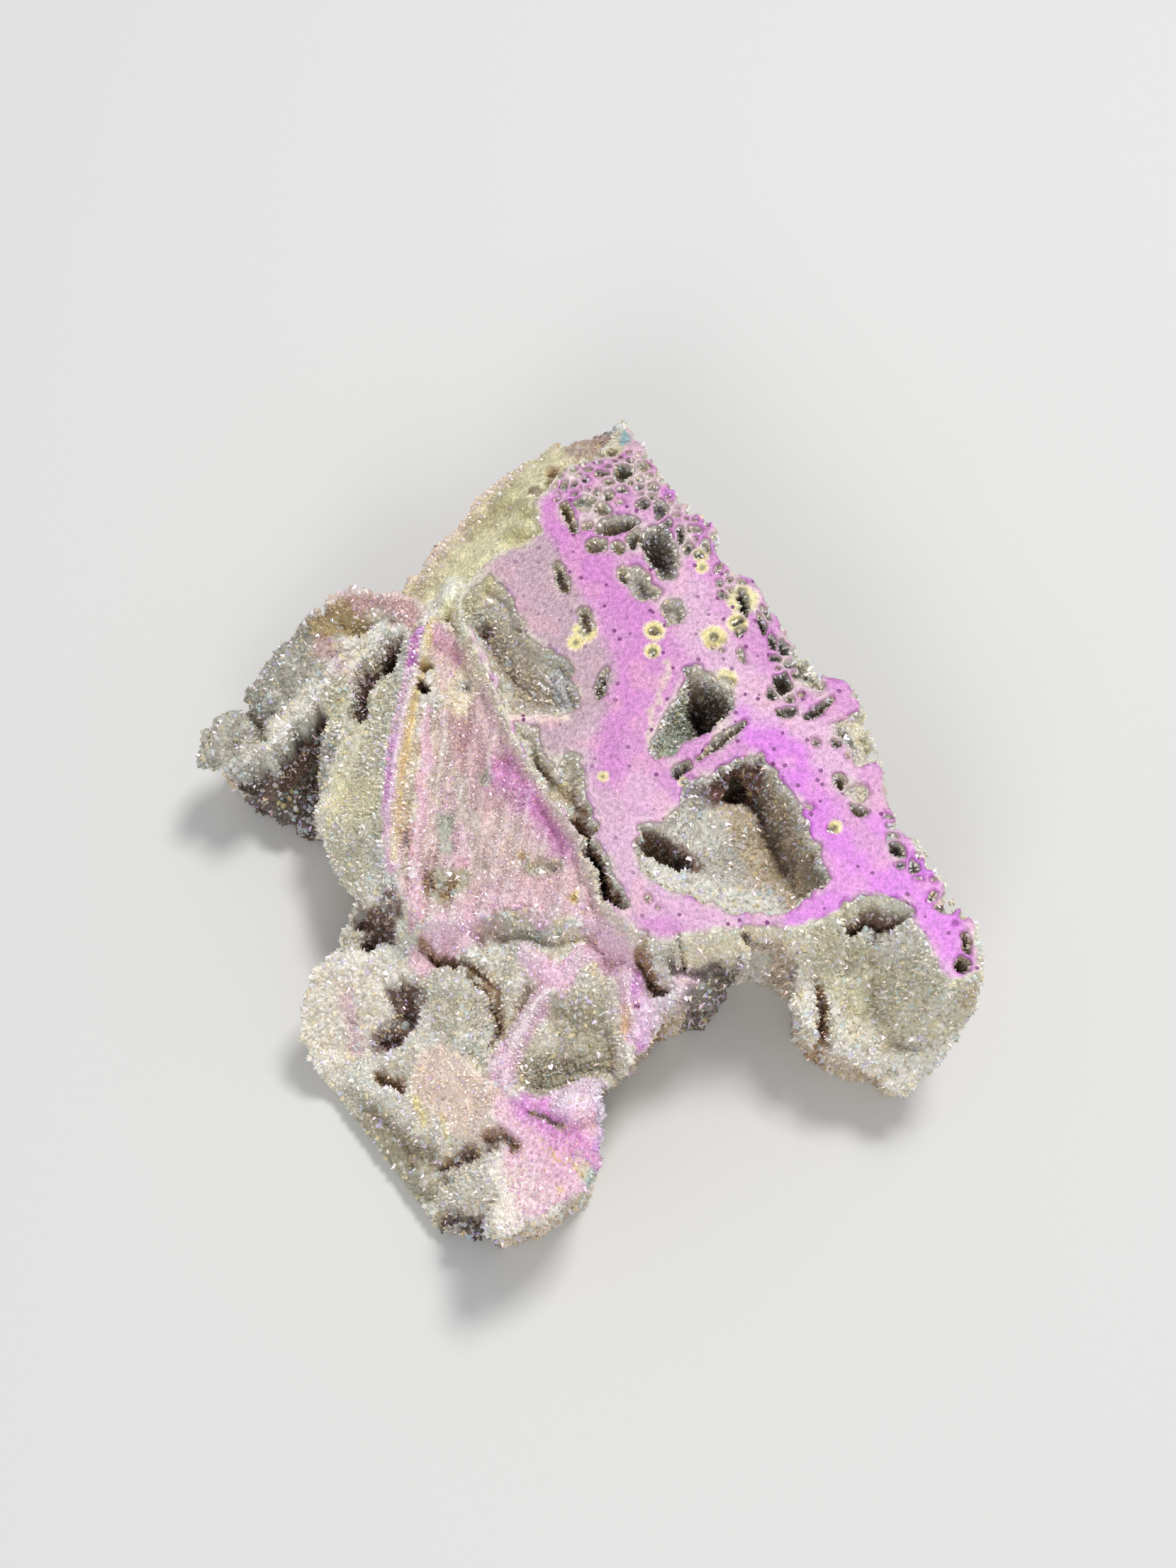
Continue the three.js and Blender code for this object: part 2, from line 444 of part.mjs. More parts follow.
function crustOf(hollow) {
  const plan = drawnIn(hollow.rim, CRUST_GAP);
  const box = around(hollow.rim, 1);
  const under = (x, y) => floorHeight(hollow, x, y) + CRUST_GAP;
  const over = (x, y) => under(x, y) + CRUST_THICK + 0.35 * (1 + noise(x * 1.3, y * 1.3, 21));
  const bed = solid(block(box, FLOOR_GRID, under, over));
  const room = solid(block(box, FLOOR_GRID, under, () => SKY)).intersect(solid(prism(plan, 0, FACE_Z - CRUST_GAP)));
  const inPlan = (x, y) => insideBy(plan, x, y) > 0.5;
  return druse(bed, box, 2.8, over, inPlan, 1.15).intersect(room);
}

// A wedge along a line, wide at the surface and closing to a narrow bottom.
function cleftCutter({ line, half, depth }) {
  const left = [];
  const right = [];
  line.forEach(([x, y], i) => {
    const before = line[Math.max(0, i - 1)];
    const after = line[Math.min(line.length - 1, i + 1)];
    const along = new THREE.Vector2(after[0] - before[0], after[1] - before[1]).normalize();
    const width = half * (i === 0 || i === line.length - 1 ? 0.45 : 1 + 0.3 * noise(x, y, 2));
    left.push([x - along.y * width, y + along.x * width]);
    right.unshift([x + along.y * width, y - along.x * width]);
  });
  const plan = [...left, ...right];
  const level = Math.min(...line.map(([x, y]) => relief(x, y)));
  const geometry = prism(plan, Math.max(FLOOR_MIN, level - depth), SKY);
  const p = geometry.attributes.position;
  for (let i = 0; i < p.count; i += 1) {
    if (p.getZ(i) < level) {
      const i0 = plan.findIndex(([x, y]) => Math.hypot(x - p.getX(i), y - p.getY(i)) < 1e-3);
      const centre = line[Math.min(i0, plan.length - 1 - i0)];
      p.setX(i, centre[0] + 0.45 * (p.getX(i) - centre[0]));
      p.setY(i, centre[1] + 0.45 * (p.getY(i) - centre[1]));
    }
  }
  return solid(geometry);
}

function pitCutter([x, y, rx, ry, degrees, depth]) {
  const onPatch = y < -25;
  const top = Math.max(relief(x, y), onPatch ? PATCH_Z : 0, insideBy(FACE, x, y) > 0 ? FACE_Z : 0);
  const geometry = new THREE.CylinderGeometry(1.05, 0.6, depth + 2, 6);
  geometry.rotateX(Math.PI / 2);
  geometry.scale(rx, ry, 1);
  geometry.rotateZ(THREE.MathUtils.degToRad(degrees));
  geometry.translate(x, y, top + 1 - depth / 2);
  return solid(geometry);
}

// ---- The stone ----
// The side wall: undercut below the rim and bulging in rough courses, but straight at the saw cut.
function sideWall() {
  const geometry = prism(OUTLINE, 0, SKY, WALL_COURSES);
  const p = geometry.attributes.position;
  const inner = drawnIn(OUTLINE, 1);
  for (let i = 0; i < p.count; i += 1) {
    const [x, y, z] = [p.getX(i), p.getY(i), p.getZ(i)];
    const at = OUTLINE.findIndex((o) => Math.hypot(o[0] - x, o[1] - y) < 1e-3);
    if (nearest(SAWN_EDGE, x, y).distance > 0.5) {
      const rise = Math.min(1, z / relief(inner[at][0], inner[at][1]));
      const draw = UNDERCUT * (1 - rise * rise) + WALL_ROUGH * noise(x / 2.5, y / 2.5, z / 4);
      p.setX(i, x + draw * (inner[at][0] - x));
      p.setY(i, y + draw * (inner[at][1] - y));
    }
  }
  return solid(geometry);
}

// Broad knobs of druse down the side, hardly further out than the plan.
function sideLumps(body) {
  let stone = body;
  const inner = drawnIn(OUTLINE, 2.4);
  for (let i = 1; i < OUTLINE.length; i += 7) {
    const [x, y] = inner[i];
    const height = relief(x, y);
    if (height > 7 && nearest(SAWN_EDGE, x, y).distance > 4) {
      const z = height * (0.25 + 0.3 * lattice(i, 2, 3));
      const size = 2.6 + 0.8 * lattice(i, 5, 1);
      stone = stone.add(lump([x, y, z], [size, size, size * 1.4], i));
    }
  }
  return stone;
}

function makeSlab() {
  const box = around(OUTLINE, 1);
  const wall = sideWall();
  let stone = solid(block(box, GRID, () => 0, relief)).intersect(wall);
  stone = stone.add(solid(prism(FACE, FACE_Z - FACE_THICK, FACE_Z)));
  stone = stone.add(solid(prism(PATCH, PATCH_Z - 3, PATCH_Z)));
  stone = sideLumps(stone);
  const isDruse = (x, y) =>
    insideBy(OUTLINE, x, y) > 0.8 &&
    insideBy(FACE, x, y) < -0.8 &&
    insideBy(FOLD, x, y) < -0.3 &&
    insideBy(PATCH, x, y) < -0.5 &&
    nearest(RIDGES.spine.crest, x, y).distance > 1.5;
  stone = druse(stone, box, 3.9, relief, isDruse, 1.5);
  for (const hollow of Object.values(HOLLOWS)) {
    stone = stone.subtract(hollowCutter(hollow));
  }
  for (const { at, half } of Object.values(UNDERCUTS)) {
    stone = stone.subtract(lump(at, half, 4));
  }
  for (const cleft of Object.values(CLEFTS)) {
    stone = stone.subtract(cleftCutter(cleft));
  }
  for (const pit of PITS) {
    stone = stone.subtract(pitCutter(pit));
  }
  const ground = new THREE.BoxGeometry(200, 200, 20);
  ground.translate(0, 0, -10);
  const bevel = new THREE.BoxGeometry(40, 24, 10);
  bevel.rotateX(-0.3);
  bevel.translate(4, 46, FACE_Z + 2.6);
  return stone.subtract(solid(ground)).subtract(solid(bevel));
}

function largestPiece(body) {
  return body.decompose().reduce((a, b) => (b.volume() > a.volume() ? b : a));
}

function meshOf(body, name, material) {
  const { vertProperties, triVerts, numProp } = largestPiece(body.simplify(WELD)).getMesh();
  const geometry = new THREE.BufferGeometry();
  const positions = [];
  for (let i = 0; i < vertProperties.length; i += numProp) {
    positions.push(vertProperties[i], vertProperties[i + 1], vertProperties[i + 2]);
  }
  geometry.setAttribute("position", new THREE.Float32BufferAttribute(positions, 3));
  geometry.setIndex(Array.from(triVerts));
  geometry.computeVertexNormals();
  const mesh = new THREE.Mesh(geometry, material);
  mesh.name = name;
  return mesh;
}

const coatedStone = new THREE.MeshStandardMaterial({ color: 0xd9a6d2, roughness: 0.5, metalness: 0.1 });
const druseCrust = new THREE.MeshStandardMaterial({ color: 0xa39a86, roughness: 0.4, metalness: 0.0 });

const group = new THREE.Group();
group.add(meshOf(makeSlab(), "slab", coatedStone));
for (const name of CRUSTED) {
  group.add(meshOf(crustOf(HOLLOWS[name]), `${name}_crust`, druseCrust));
}

export default group;
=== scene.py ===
"""A broken slab of druzy quartz with a pink vapour-coated skin, dressed for looks.

It is laid out as an add-on and run as a script. Shapes are worked out in millimetres, in the frame of the
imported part, and turned to metres when their meshes are made.
"""

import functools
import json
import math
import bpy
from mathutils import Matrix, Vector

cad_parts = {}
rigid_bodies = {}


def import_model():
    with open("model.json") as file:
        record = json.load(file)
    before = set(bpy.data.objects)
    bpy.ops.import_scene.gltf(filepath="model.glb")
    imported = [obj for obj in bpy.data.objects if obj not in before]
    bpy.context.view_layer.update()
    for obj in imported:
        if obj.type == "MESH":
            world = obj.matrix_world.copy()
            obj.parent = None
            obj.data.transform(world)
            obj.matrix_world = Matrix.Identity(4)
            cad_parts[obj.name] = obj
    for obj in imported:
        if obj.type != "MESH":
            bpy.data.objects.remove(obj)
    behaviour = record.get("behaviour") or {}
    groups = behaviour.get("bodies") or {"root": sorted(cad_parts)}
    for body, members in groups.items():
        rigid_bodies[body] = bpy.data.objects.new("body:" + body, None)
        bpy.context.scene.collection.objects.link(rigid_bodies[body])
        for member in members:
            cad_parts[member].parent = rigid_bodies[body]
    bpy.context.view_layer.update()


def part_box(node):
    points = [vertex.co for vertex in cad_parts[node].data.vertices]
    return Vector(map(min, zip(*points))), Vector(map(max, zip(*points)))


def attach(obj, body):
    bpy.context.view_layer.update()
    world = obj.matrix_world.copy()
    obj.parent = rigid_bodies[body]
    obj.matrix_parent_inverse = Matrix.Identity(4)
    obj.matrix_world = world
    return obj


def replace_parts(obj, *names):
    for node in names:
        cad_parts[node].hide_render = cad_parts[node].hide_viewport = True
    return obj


bl_info = {
    "name": "Coated druzy quartz slab",
    "version": (1, 0, 0),
    "blender": (4, 5, 0),
    "location": "View3D > Sidebar > Stone",
    "description": "Builds the stone, its crystals, its crusts and a plain studio",
    "category": "Object",
}

import bpy
import numpy as np
import openvdb

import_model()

MM = 0.001  # metres in a millimetre
LOW, HIGH = ([c / MM for c in corner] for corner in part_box("slab"))  # the stone's own box, mm

# ---- Sizes of the stone (mm) ----
FACE_Z = 24.0  # flat skin above the sawn underside
FOLD_Z = 21.0  # top of the draped fold
FOLD_DROP = 1.6  # how far the fold falls from its right edge to the spine
FOLD_WIDTH = 10  # from its right edge to the spine
FOLD_RISE = (16.5, 18)  # heights between which the fold's finish sets in
SPINE_RISE = (17, 18.5)  # heights between which the spine's finish sets in
PATCH_Z = 16.4  # flat pink patch on the left foot
TIP_Y = 34.5  # north of this the flat skin dips towards the tip
TIP_DIP = 0.31  # how steeply it dips
LOWEST_TOP = 3.0  # top of the stone between its ridges
LOWEST_EDGE = 0.6  # least height at the outline
FALLS = {"fold": 2.2, "face": 3.4, "patch": 2.6}  # how steeply the stone falls beyond each plan
SAWN_SLOPE = 1.25  # how steeply the stone rises from the saw cut
SOFT = 0.9  # rounding where two forms meet
SKIN_SOFT = 0.5  # rounding at the flat skin's edge and at the top of the side wall
CRUST = 1.3  # a hollow's wall to the top of its crust
FLOOR_MIN = 2.5  # stone left under the deepest hollow
UNDERCUT = 1.2  # how far the side wall stands back at the underside
SIDE_INSET = 0.45  # room for the crystals inside the stone's outline
TOP_INSET = 0.04  # room for the grain of the skin
WALL_ROUGH = 0.8  # lumps of the side wall
WELT_GAIN = 1.3  # how boldly the welts and grooves stand
WELT_REACH = 1.3  # their foot, in half widths from the line
CROWN_Z = 22.4  # above this the stone is meshed finely
CROWN_LAP = 0.4  # how far the two meshes of the stone overlap
BODY_TRIANGLES = 180000  # of each of the stone's two meshes
LEAST_SHELL = {"slab_stone": 2000, "slab_crown": 12}  # triangles of the smallest shell that is kept

# The plan of the stone, clockwise from the north tip.
OUTLINE = [
    (4, 43), (5.5, 42.5), (7, 40), (9, 36), (11, 32), (14, 29), (15.5, 27.5), (15, 25.5),
    (16.5, 23.5), (18.5, 22.5), (19.5, 20.5), (22.5, 16), (25, 12.5), (27.5, 12), (28.5, 10.5),
    (29.5, 7), (30.5, 2), (31, -1), (32, -4), (33.5, -5.5), (34.5, -7.5), (36, -10), (37, -12),
    (38.5, -13.5), (39, -15.5), (39.5, -18), (38.5, -22), (37, -25), (34.5, -26.5), (33, -27.5),
    (30.5, -26.5), (29, -25.5), (27, -25), (24.5, -24.5), (22.5, -22.5), (21, -19.5), (21, -17),
    (19.5, -15.5), (16.5, -15), (18, -16.5), (16.5, -17.5), (14, -19.5), (11, -21), (9, -21),
    (8, -24), (6, -25.5), (3.5, -27.5), (3, -29), (3.5, -32.5), (3, -36.5), (1, -39), (-1, -40.5),
    (-3, -41.5), (-7, -43), (-9, -42), (-11, -42), (-12.5, -40.5), (-14, -39), (-24.5, -25.5),
    (-26.5, -24.5), (-28, -21.5), (-27.5, -17.5), (-27, -15.5),
    (-24.5, -13.5), (-24, -10.5), (-22.5, -8), (-25, -5), (-26, -3), (-26.5, -0.5), (-31, 2.5),
    (-34.5, 4), (-37.5, 6.5), (-39, 5), (-39.5, 8.5), (-39, 10.5), (-38, 12.5), (-34.5, 14),
    (-33.5, 16), (-31, 20.5), (-29, 21), (-26.5, 22.5), (-25, 24), (-23, 24.5), (-19.5, 23.5),
    (-18, 28), (-16.5, 29), (-16, 31.5), (-14, 32.5), (-12, 34.5), (-10, 37), (-7.5, 39),
    (-5.5, 39.5), (-3, 41.5), (-0.5, 42), (2, 42.5),
]
SAWN_EDGE = [(-14, -39), (-24.5, -25.5)]  # the straight saw cut of the left foot

# The flat coated skin: the band down the right side and the middle of the slab.
FACE = [
    (5.5, 42), (7, 39.5), (9, 35), (11, 31.5), (14, 29), (15.3, 27), (14.8, 25.5), (16.3, 23.5),
    (18.3, 22.3), (19.3, 20.3), (22.3, 16), (25, 12), (27, 11), (28, 8.5), (29, 5.5), (30, 1),
    (30.5, -2), (31.5, -4.5), (33, -6.5), (34, -8), (35.5, -10.5), (37, -12.5), (38, -14),
    (38, -16.5), (38, -19), (35.5, -20), (34.5, -19), (33.5, -17), (33, -15.5), (32, -14),
    (31, -12.5), (29.5, -11.5), (26.5, -12.5), (24, -13.5), (22, -14.5), (20, -15), (17, -15),
    (13.5, -15), (11, -15.5), (9, -16.5), (6.5, -15.5), (4, -13.5), (3, -11.5), (2, -9),
    (0.5, -5.5), (-1.5, -2.5), (-3.5, 1), (-6, 5), (-7.5, 9), (-8.5, 11.5), (-10, 14.5), (-11, 17),
    (-11.5, 20.5), (-10, 22.5), (-8, 25), (-5, 26), (-3.5, 27.5), (-4, 31), (-1, 35), (2, 36.5),
    (4, 38.5),
]
# The convex fold that hangs from the spine to the middle, and its pleats: height, and how fast the wave
# turns per mm across and along.
PLEATS = [(0.45, 1.1, 0.25), (0.3, 2.6, 0.5), (0.12, 5.5, 0.8)]
FOLD = [
    (-14.5, 19.5), (-12, 17), (-10.5, 15), (-8.5, 13), (-8, 10), (-6.5, 6.5), (-4, 2), (-1.5, -1.5),
    (0.5, -4.5), (2, -8.5), (3, -10.5), (4, -12.5), (1, -13), (-3.5, -13.5), (-7.5, -12),
    (-11.5, -13), (-15, -12.5), (-17, -10), (-17.5, -5.5), (-18, 2), (-17, 8), (-15.5, 14),
]
# The flat pink patch on the left foot.
PATCH = [
    (-7.5, -29), (-3.5, -29), (-0.5, -28), (2.2, -27.5), (2.5, -29), (2.8, -34.5), (2.3, -37.5),
    (-0.5, -39.5), (-4, -41), (-6, -42.5), (-7.5, -41), (-7, -38.5), (-8, -36), (-6, -33.5),
    (-8, -31),
]

# Ridges, lobes and lumps: crest line with heights, half width, doming and fall beyond it.
RIDGES = {
    "north_bevel": ([(4, 40, 20), (-1, 36, 22), (-3.5, 33, 22.5), (-4, 28.5, 23), (-8.5, 25, 22),
                     (-14.5, 20, 19)], 1, 0, 1),
    "tip": ([(4, 42, 20.5), (6, 40.5, 21)], 1.2, 0.5, 1.2),
    "spine": ([(-14.5, 19.5, 21), (-15, 13.5, 22), (-17, 5, 22.3), (-18, -2.5, 21.8),
               (-17, -9.5, 18.5)], 0.5, 0, 1.6),
    "tongue": ([(-21, 13.5, 15.5), (-22.5, 8, 14.5), (-23.5, 2, 12.5), (-23, -3, 9.5)], 3, 1.2, 1.6),
    "tongue_root": ([(-18.5, 19, 17), (-19.5, 14.5, 16)], 1.5, 0.5, 1),
    "arm_ridge": ([(-15, 20, 19.5), (-19.5, 18, 18), (-24, 15.5, 16.5), (-32.5, 8.5, 14),
                   (-37, 5.5, 12.8)], 1.4, 0.6, 2.4),
    "arm_lump": ([(-26.5, 18.5, 16.8), (-31, 15.5, 15.3)], 3.2, 1.4, 1.6),
    "arm_tip": ([(-35, 11, 13.6), (-37.5, 8, 12.8)], 2.8, 1.4, 1.8),
    "arm_brow": ([(-26.5, 21.5, 17.2), (-22.5, 23, 18), (-18, 22, 18.8), (-15, 20, 20)], 0.8, 0.4, 1.8),
    "under_arm": ([(-28, 9, 6), (-30.5, 6, 5.5), (-34, 5.5, 4.5)], 3.6, 1.2, 1.4),
    "brow_back": ([(-18, 25, 14.5), (-16, 28.5, 14)], 1.6, 0.8, 1.2),
    "waist": ([(-19, -8.5, 12), (-14.5, -12.5, 15)], 3.5, 0.8, 1.2),
    "cheek": ([(-24.5, -17.5, 14.3), (-19, -16, 15.5)], 2.9, 1.2, 2.2),
    "chin": ([(-25.5, -22.5, 11.3), (-22.5, -24.5, 9)], 2.2, 1, 1.6),
    "pillow": ([(-11.5, -18.5, 18), (-11.5, -21.5, 16.5)], 2.4, 1.4, 2.2),
    "shoulder": ([(-13, -11, 18.2), (-7.5, -14, 18)], 2.2, 0.8, 1.2),
    "saddle": ([(-4.5, -16, 18.8), (0.5, -16, 18.8)], 1.5, 0.5, 1.3),
    "rib": ([(-2.5, -19.5, 18), (-4.5, -22.5, 17.5), (-6.5, -25, 17), (-7.5, -29, 16.8)], 0.9, 0.3, 1.6),
    "inner_lobe": ([(10, -15.5, 21.5), (10, -18, 19)], 1.7, 0.8, 1.6),
    "violet_lobe": ([(5.5, -18, 18.5), (6.5, -23, 15)], 1.9, 0.8, 1.8),
    "belly": ([(-7.5, -21.5, 14), (3.5, -20.5, 13)], 4, 1, 1.2),
    "foot_brow": ([(-17, -24, 14.5), (-13, -26.5, 15.5), (-7.5, -30, 16)], 2.2, 0.8, 0.75),
    "foot_toe": ([(-11.5, -36, 9.5), (-8, -38, 12)], 1.8, 0.8, 0.9),
    "foot_edge": ([(-5, -42.5, 12.5), (-1, -41, 14.5)], 1.2, 0.6, 2),
    "foot_block": ([(0, -30.5, 18.2), (2, -30, 18.4)], 1.1, 0.2, 2.5),
    "heel_top": ([(23.5, -14.5, 15), (30.5, -14.5, 15.5), (36, -18.5, 14.5)], 2.6, 1, 0.9),
    "heel_mid": ([(23.5, -20.5, 12), (29.5, -20.5, 12), (36.5, -20, 10.5)], 3, 0.8, 1),
    "heel_low": ([(24, -23.5, 6.5), (31.5, -25, 5.5), (36.5, -22.5, 6)], 2.2, 0.8, 1.2),
    "heel_pillow": ([(22, -19, 13.2), (22.5, -22.5, 12)], 1.4, 0.9, 2.4),
    "heel_lump": ([(32.5, -13.5, 17.5), (33, -15.5, 16.5)], 1.2, 0.7, 1.5),
    "notch_lump": ([(15, -15.5, 6.5), (16, -16.5, 5)], 2, 0.8, 1.5),
    "notch_toe": ([(12.5, -19, 5), (10.5, -20, 4.5)], 2, 0.8, 1.4),
}

# Hollows: rim, the line that the floor drains to, top, step at the rim, depth, and lumps on the floor.
HOLLOWS = {
    "great_hollow": (
        [(18.5, 3), (19.5, 1.5), (21, -1), (22.5, -4), (23.5, -6.5), (24.5, -10), (23, -11.5),
         (21.5, -12.5), (20, -13.2), (17, -13.5), (15.5, -13.2), (12, -12), (9, -11), (6.5, -9), (6, -7),
         (6, -4.5), (8.5, -4), (10, -2), (10.5, 0), (13, 1), (16, 2.5)],
        [(18, 1), (20, -2), (21.2, -5), (21, -8)], FACE_Z, 2, 13,
        [([(14.5, -1.5, 18.2), (13, -6, 17.2)], 1.8, 1, 1.1),
         ([(20.4, -5, 14), (21, -8.5, 15)], 1.6, 0.5, 1.2),
         ([(9, -9, 20), (14, -10.3, 19.4), (19, -11, 19)], 1.2, 0.4, 1.5)]),
    "north_hollow": (
        [(12, 13), (13.5, 12), (14.5, 11), (15.5, 10), (16, 8.4), (15, 7.2), (13.6, 5.9), (11.6, 4.5),
         (9.8, 3.4), (8, 2.4), (7.5, 3.2), (8.5, 6.5), (10, 9.5), (11, 12)],
        [(12.8, 10.5), (14, 7.5)], FACE_Z, 2, 14, []),
    "west_hollow": (
        [(-10.5, 21), (-8.5, 22.5), (-7.5, 22), (-6.5, 21), (-5.5, 18.5), (-4.5, 16), (-2.5, 14.5),
         (-0.5, 13), (0.5, 9.5), (0.5, 8), (-1.5, 7), (-4, 7.5), (-6, 7), (-7.5, 8), (-7.5, 11),
         (-8.5, 13.5), (-9.5, 15), (-11, 17.5), (-11.5, 20)],
        [(-9.5, 18.5), (-8, 15.5), (-4.5, 11)], FACE_Z, 1.8, 7, []),
    "mid_hollow": (
        [(-6, 6.6), (-3.2, 6), (-3, 3.5), (-1.5, 1.5), (-0.7, 3.4), (0.7, 3), (1.5, -2), (2, -3.5),
         (-0.5, -3.5), (-2.5, -1.5), (-4, 1)],
        [(-4, 3), (-1.2, 0.8), (0.7, -1.5)], FACE_Z, 1.2, 4.2, []),
    "eye": (
        [(6, -6), (7, -4.5), (9, -4.5), (10.5, -5.5), (12, -7), (10.5, -8), (8, -7.5)],
        [(8, -6), (10, -6.8)], 21, 2, 10, []),
    "bowl": (
        [(-2.5, -19.5), (3, -19.5), (4, -25.5), (2.5, -26.5), (-1, -28.5), (-5, -28.5), (-6, -27.5),
         (-4.5, -23.5)],
        [(0.5, -22), (-2.5, -26)], 17, 0.6, 4.5, []),
    "cave": (
        [(-12.6, -39.3), (-11.5, -38.3), (-8.9, -38.8), (-8, -40), (-8.2, -42), (-9.6, -42), (-11.4, -41.4)],
        [(-10.4, -40.6)], 10, 1.5, 5.5, []),
    "edge_facet": (
        [(25, 6.5), (27.5, 8), (28.5, 8), (29.5, 4.5), (30, 3), (29.5, 2), (28, 1.5), (26.5, 4)],
        [(28.5, 5.5), (29, 3.5)], FACE_Z, 0.6, 2.6, []),
    "big_cell": (
        [(6.6, 27.2), (7.6, 28.1), (8.8, 28.4), (10.3, 27), (10.7, 24.5), (10.2, 22.6), (9.4, 21.9),
         (8, 23.3), (6.8, 24.6)],
        [(8.8, 26.8)], FACE_Z, 1.4, 7, []),
    "blue_cell": (
        [(4.7, 23.4), (6.4, 23.8), (7.6, 22.9), (8.8, 21), (8.3, 19.6), (7, 19.3), (5.4, 20.8), (4.7, 22)],
        [(7, 22)], FACE_Z, 0.6, 3.5, []),
    "oval_cell": (
        [(21.5, 13.5), (22, 14.5), (23, 14.5), (24, 13.5), (25, 10.5), (24, 9.5), (22.5, 10.5)],
        [(23, 12.5)], FACE_Z, 0.6, 3, []),
    "arm_drop": (
        [(-38, 4.4), (-36.9, 4.2), (-33.7, 5.1), (-31.9, 6.7), (-30.2, 8), (-28.1, 9.6), (-26.6, 11.4),
         (-25.6, 12.4), (-26.2, 8), (-26.5, 4), (-26, 0), (-26.5, -2), (-31, 1.5), (-34.5, 3)],
        [(-28, 7.5), (-29, 4), (-29, 2)], 9, 1.5, 4.5, []),
    "elbow_dip": (
        [(-26, 21.5), (-22.5, 22), (-21, 20.5), (-22, 19), (-25, 19.5)],
        [(-23.5, 20.5)], 17.5, 0.3, 2.5, []),
}
CRUSTED = ("great_hollow", "north_hollow", "west_hollow")

# Lines that more than one of the tables below follows.
SEAMS = {
    "arm_slit": [(-18.7, 18.2), (-19.6, 16.6), (-21, 15.4), (-21.9, 13.6), (-22.2, 11.6)],
    "foot_crevice": [(-12.4, -33.6), (-10.6, -33), (-9.4, -33.2)],
    "toe_crevice": [(-8, -32.2), (-7, -32.3), (-5.6, -33.8)],
    "toe_cave": [(-12, -39.6), (-10.4, -40.4), (-9, -41)],
    "spine_pleat": [(-14.6, 8.7), (-14.7, 3.4), (-15.2, -2.3), (-15.5, -6.4), (-15.1, -11.5)],
    "shoulder_arch": [(-13.5, -13.6), (-10.1, -11.6), (-6.3, -9.6), (-2.5, -11.9), (0.3, -10.6)],
    "saddle_lip": [(-4.4, -15.6), (-3.1, -17.3), (-0.9, -18.2), (0.9, -15.9)],
    "middle": [(-9, 22), (-5, 24.5), (-3, 19), (-1.5, 15), (0.5, 11), (0.5, 5), (-1, 4)],
    "middle_tail": [(2.5, 4), (2.5, -2), (4, -7), (6, -11)],
    "fold_cell": [(-4.4, -7.3), (-3.2, -7), (-1.5, -7.2)],
}

# Clefts: a line, its half width at the top and its depth below the surface that it cuts.
CLEFTS = {
    "brown_cleft": ([(0.4, -3.4), (1.4, -5), (1.7, -6.8), (2.7, -8.2), (3.1, -10.2), (4.5, -12.4)], 0.8, 5.5),
    "arm_slit": (SEAMS["arm_slit"], 1.15, 5.5),
    "arm_slit_mouth": ([(-18.8, 18), (-19.8, 16.4)], 1.6, 3),
    "cheek_hollow": ([(-21, -9.6), (-19, -11.3), (-20.6, -13)], 1.3, 3.5),
    "gold_hollow": ([(-17, -18), (-16.2, -20.5), (-18, -21.8)], 1.5, 3.2),
    "pillow_cleft": ([(-14, -15), (-11.5, -16.3), (-8.5, -18.5), (-7.5, -22), (-8, -24)], 0.5, 1.8),
    "chin_cleft": ([(-19.5, -24.6), (-17.5, -25.6)], 0.7, 2.2),
    "u_cleft": ([(-14, -6.2), (-14, -8.4), (-12.8, -10.2), (-11.6, -8.8), (-11, -6.8)], 0.6, 0.8),
    "lobe_cleft": ([(6.5, -16), (7.5, -18), (8.5, -19)], 0.8, 3.5),
    "foot_gully": ([(-20.7, -28.2), (-18, -30.4), (-15.8, -31.9), (-12.9, -33.2)], 2, 1.5),
    "foot_crevice": (SEAMS["foot_crevice"], 0.75, 1.6),
    "toe_crevice": (SEAMS["toe_crevice"], 0.75, 1.6),
    "heel_slit": ([(24.2, -18), (24.6, -20), (24.6, -23)], 0.6, 2.6),
    "heel_dark": ([(26.6, -13), (28.8, -12.4), (30.8, -13)], 1.1, 4.5),
    "hollow_valley": ([(18.2, 2.4), (18.7, 0.1), (19.9, -3.4), (21, -6.4)], 0.7, 1),
}

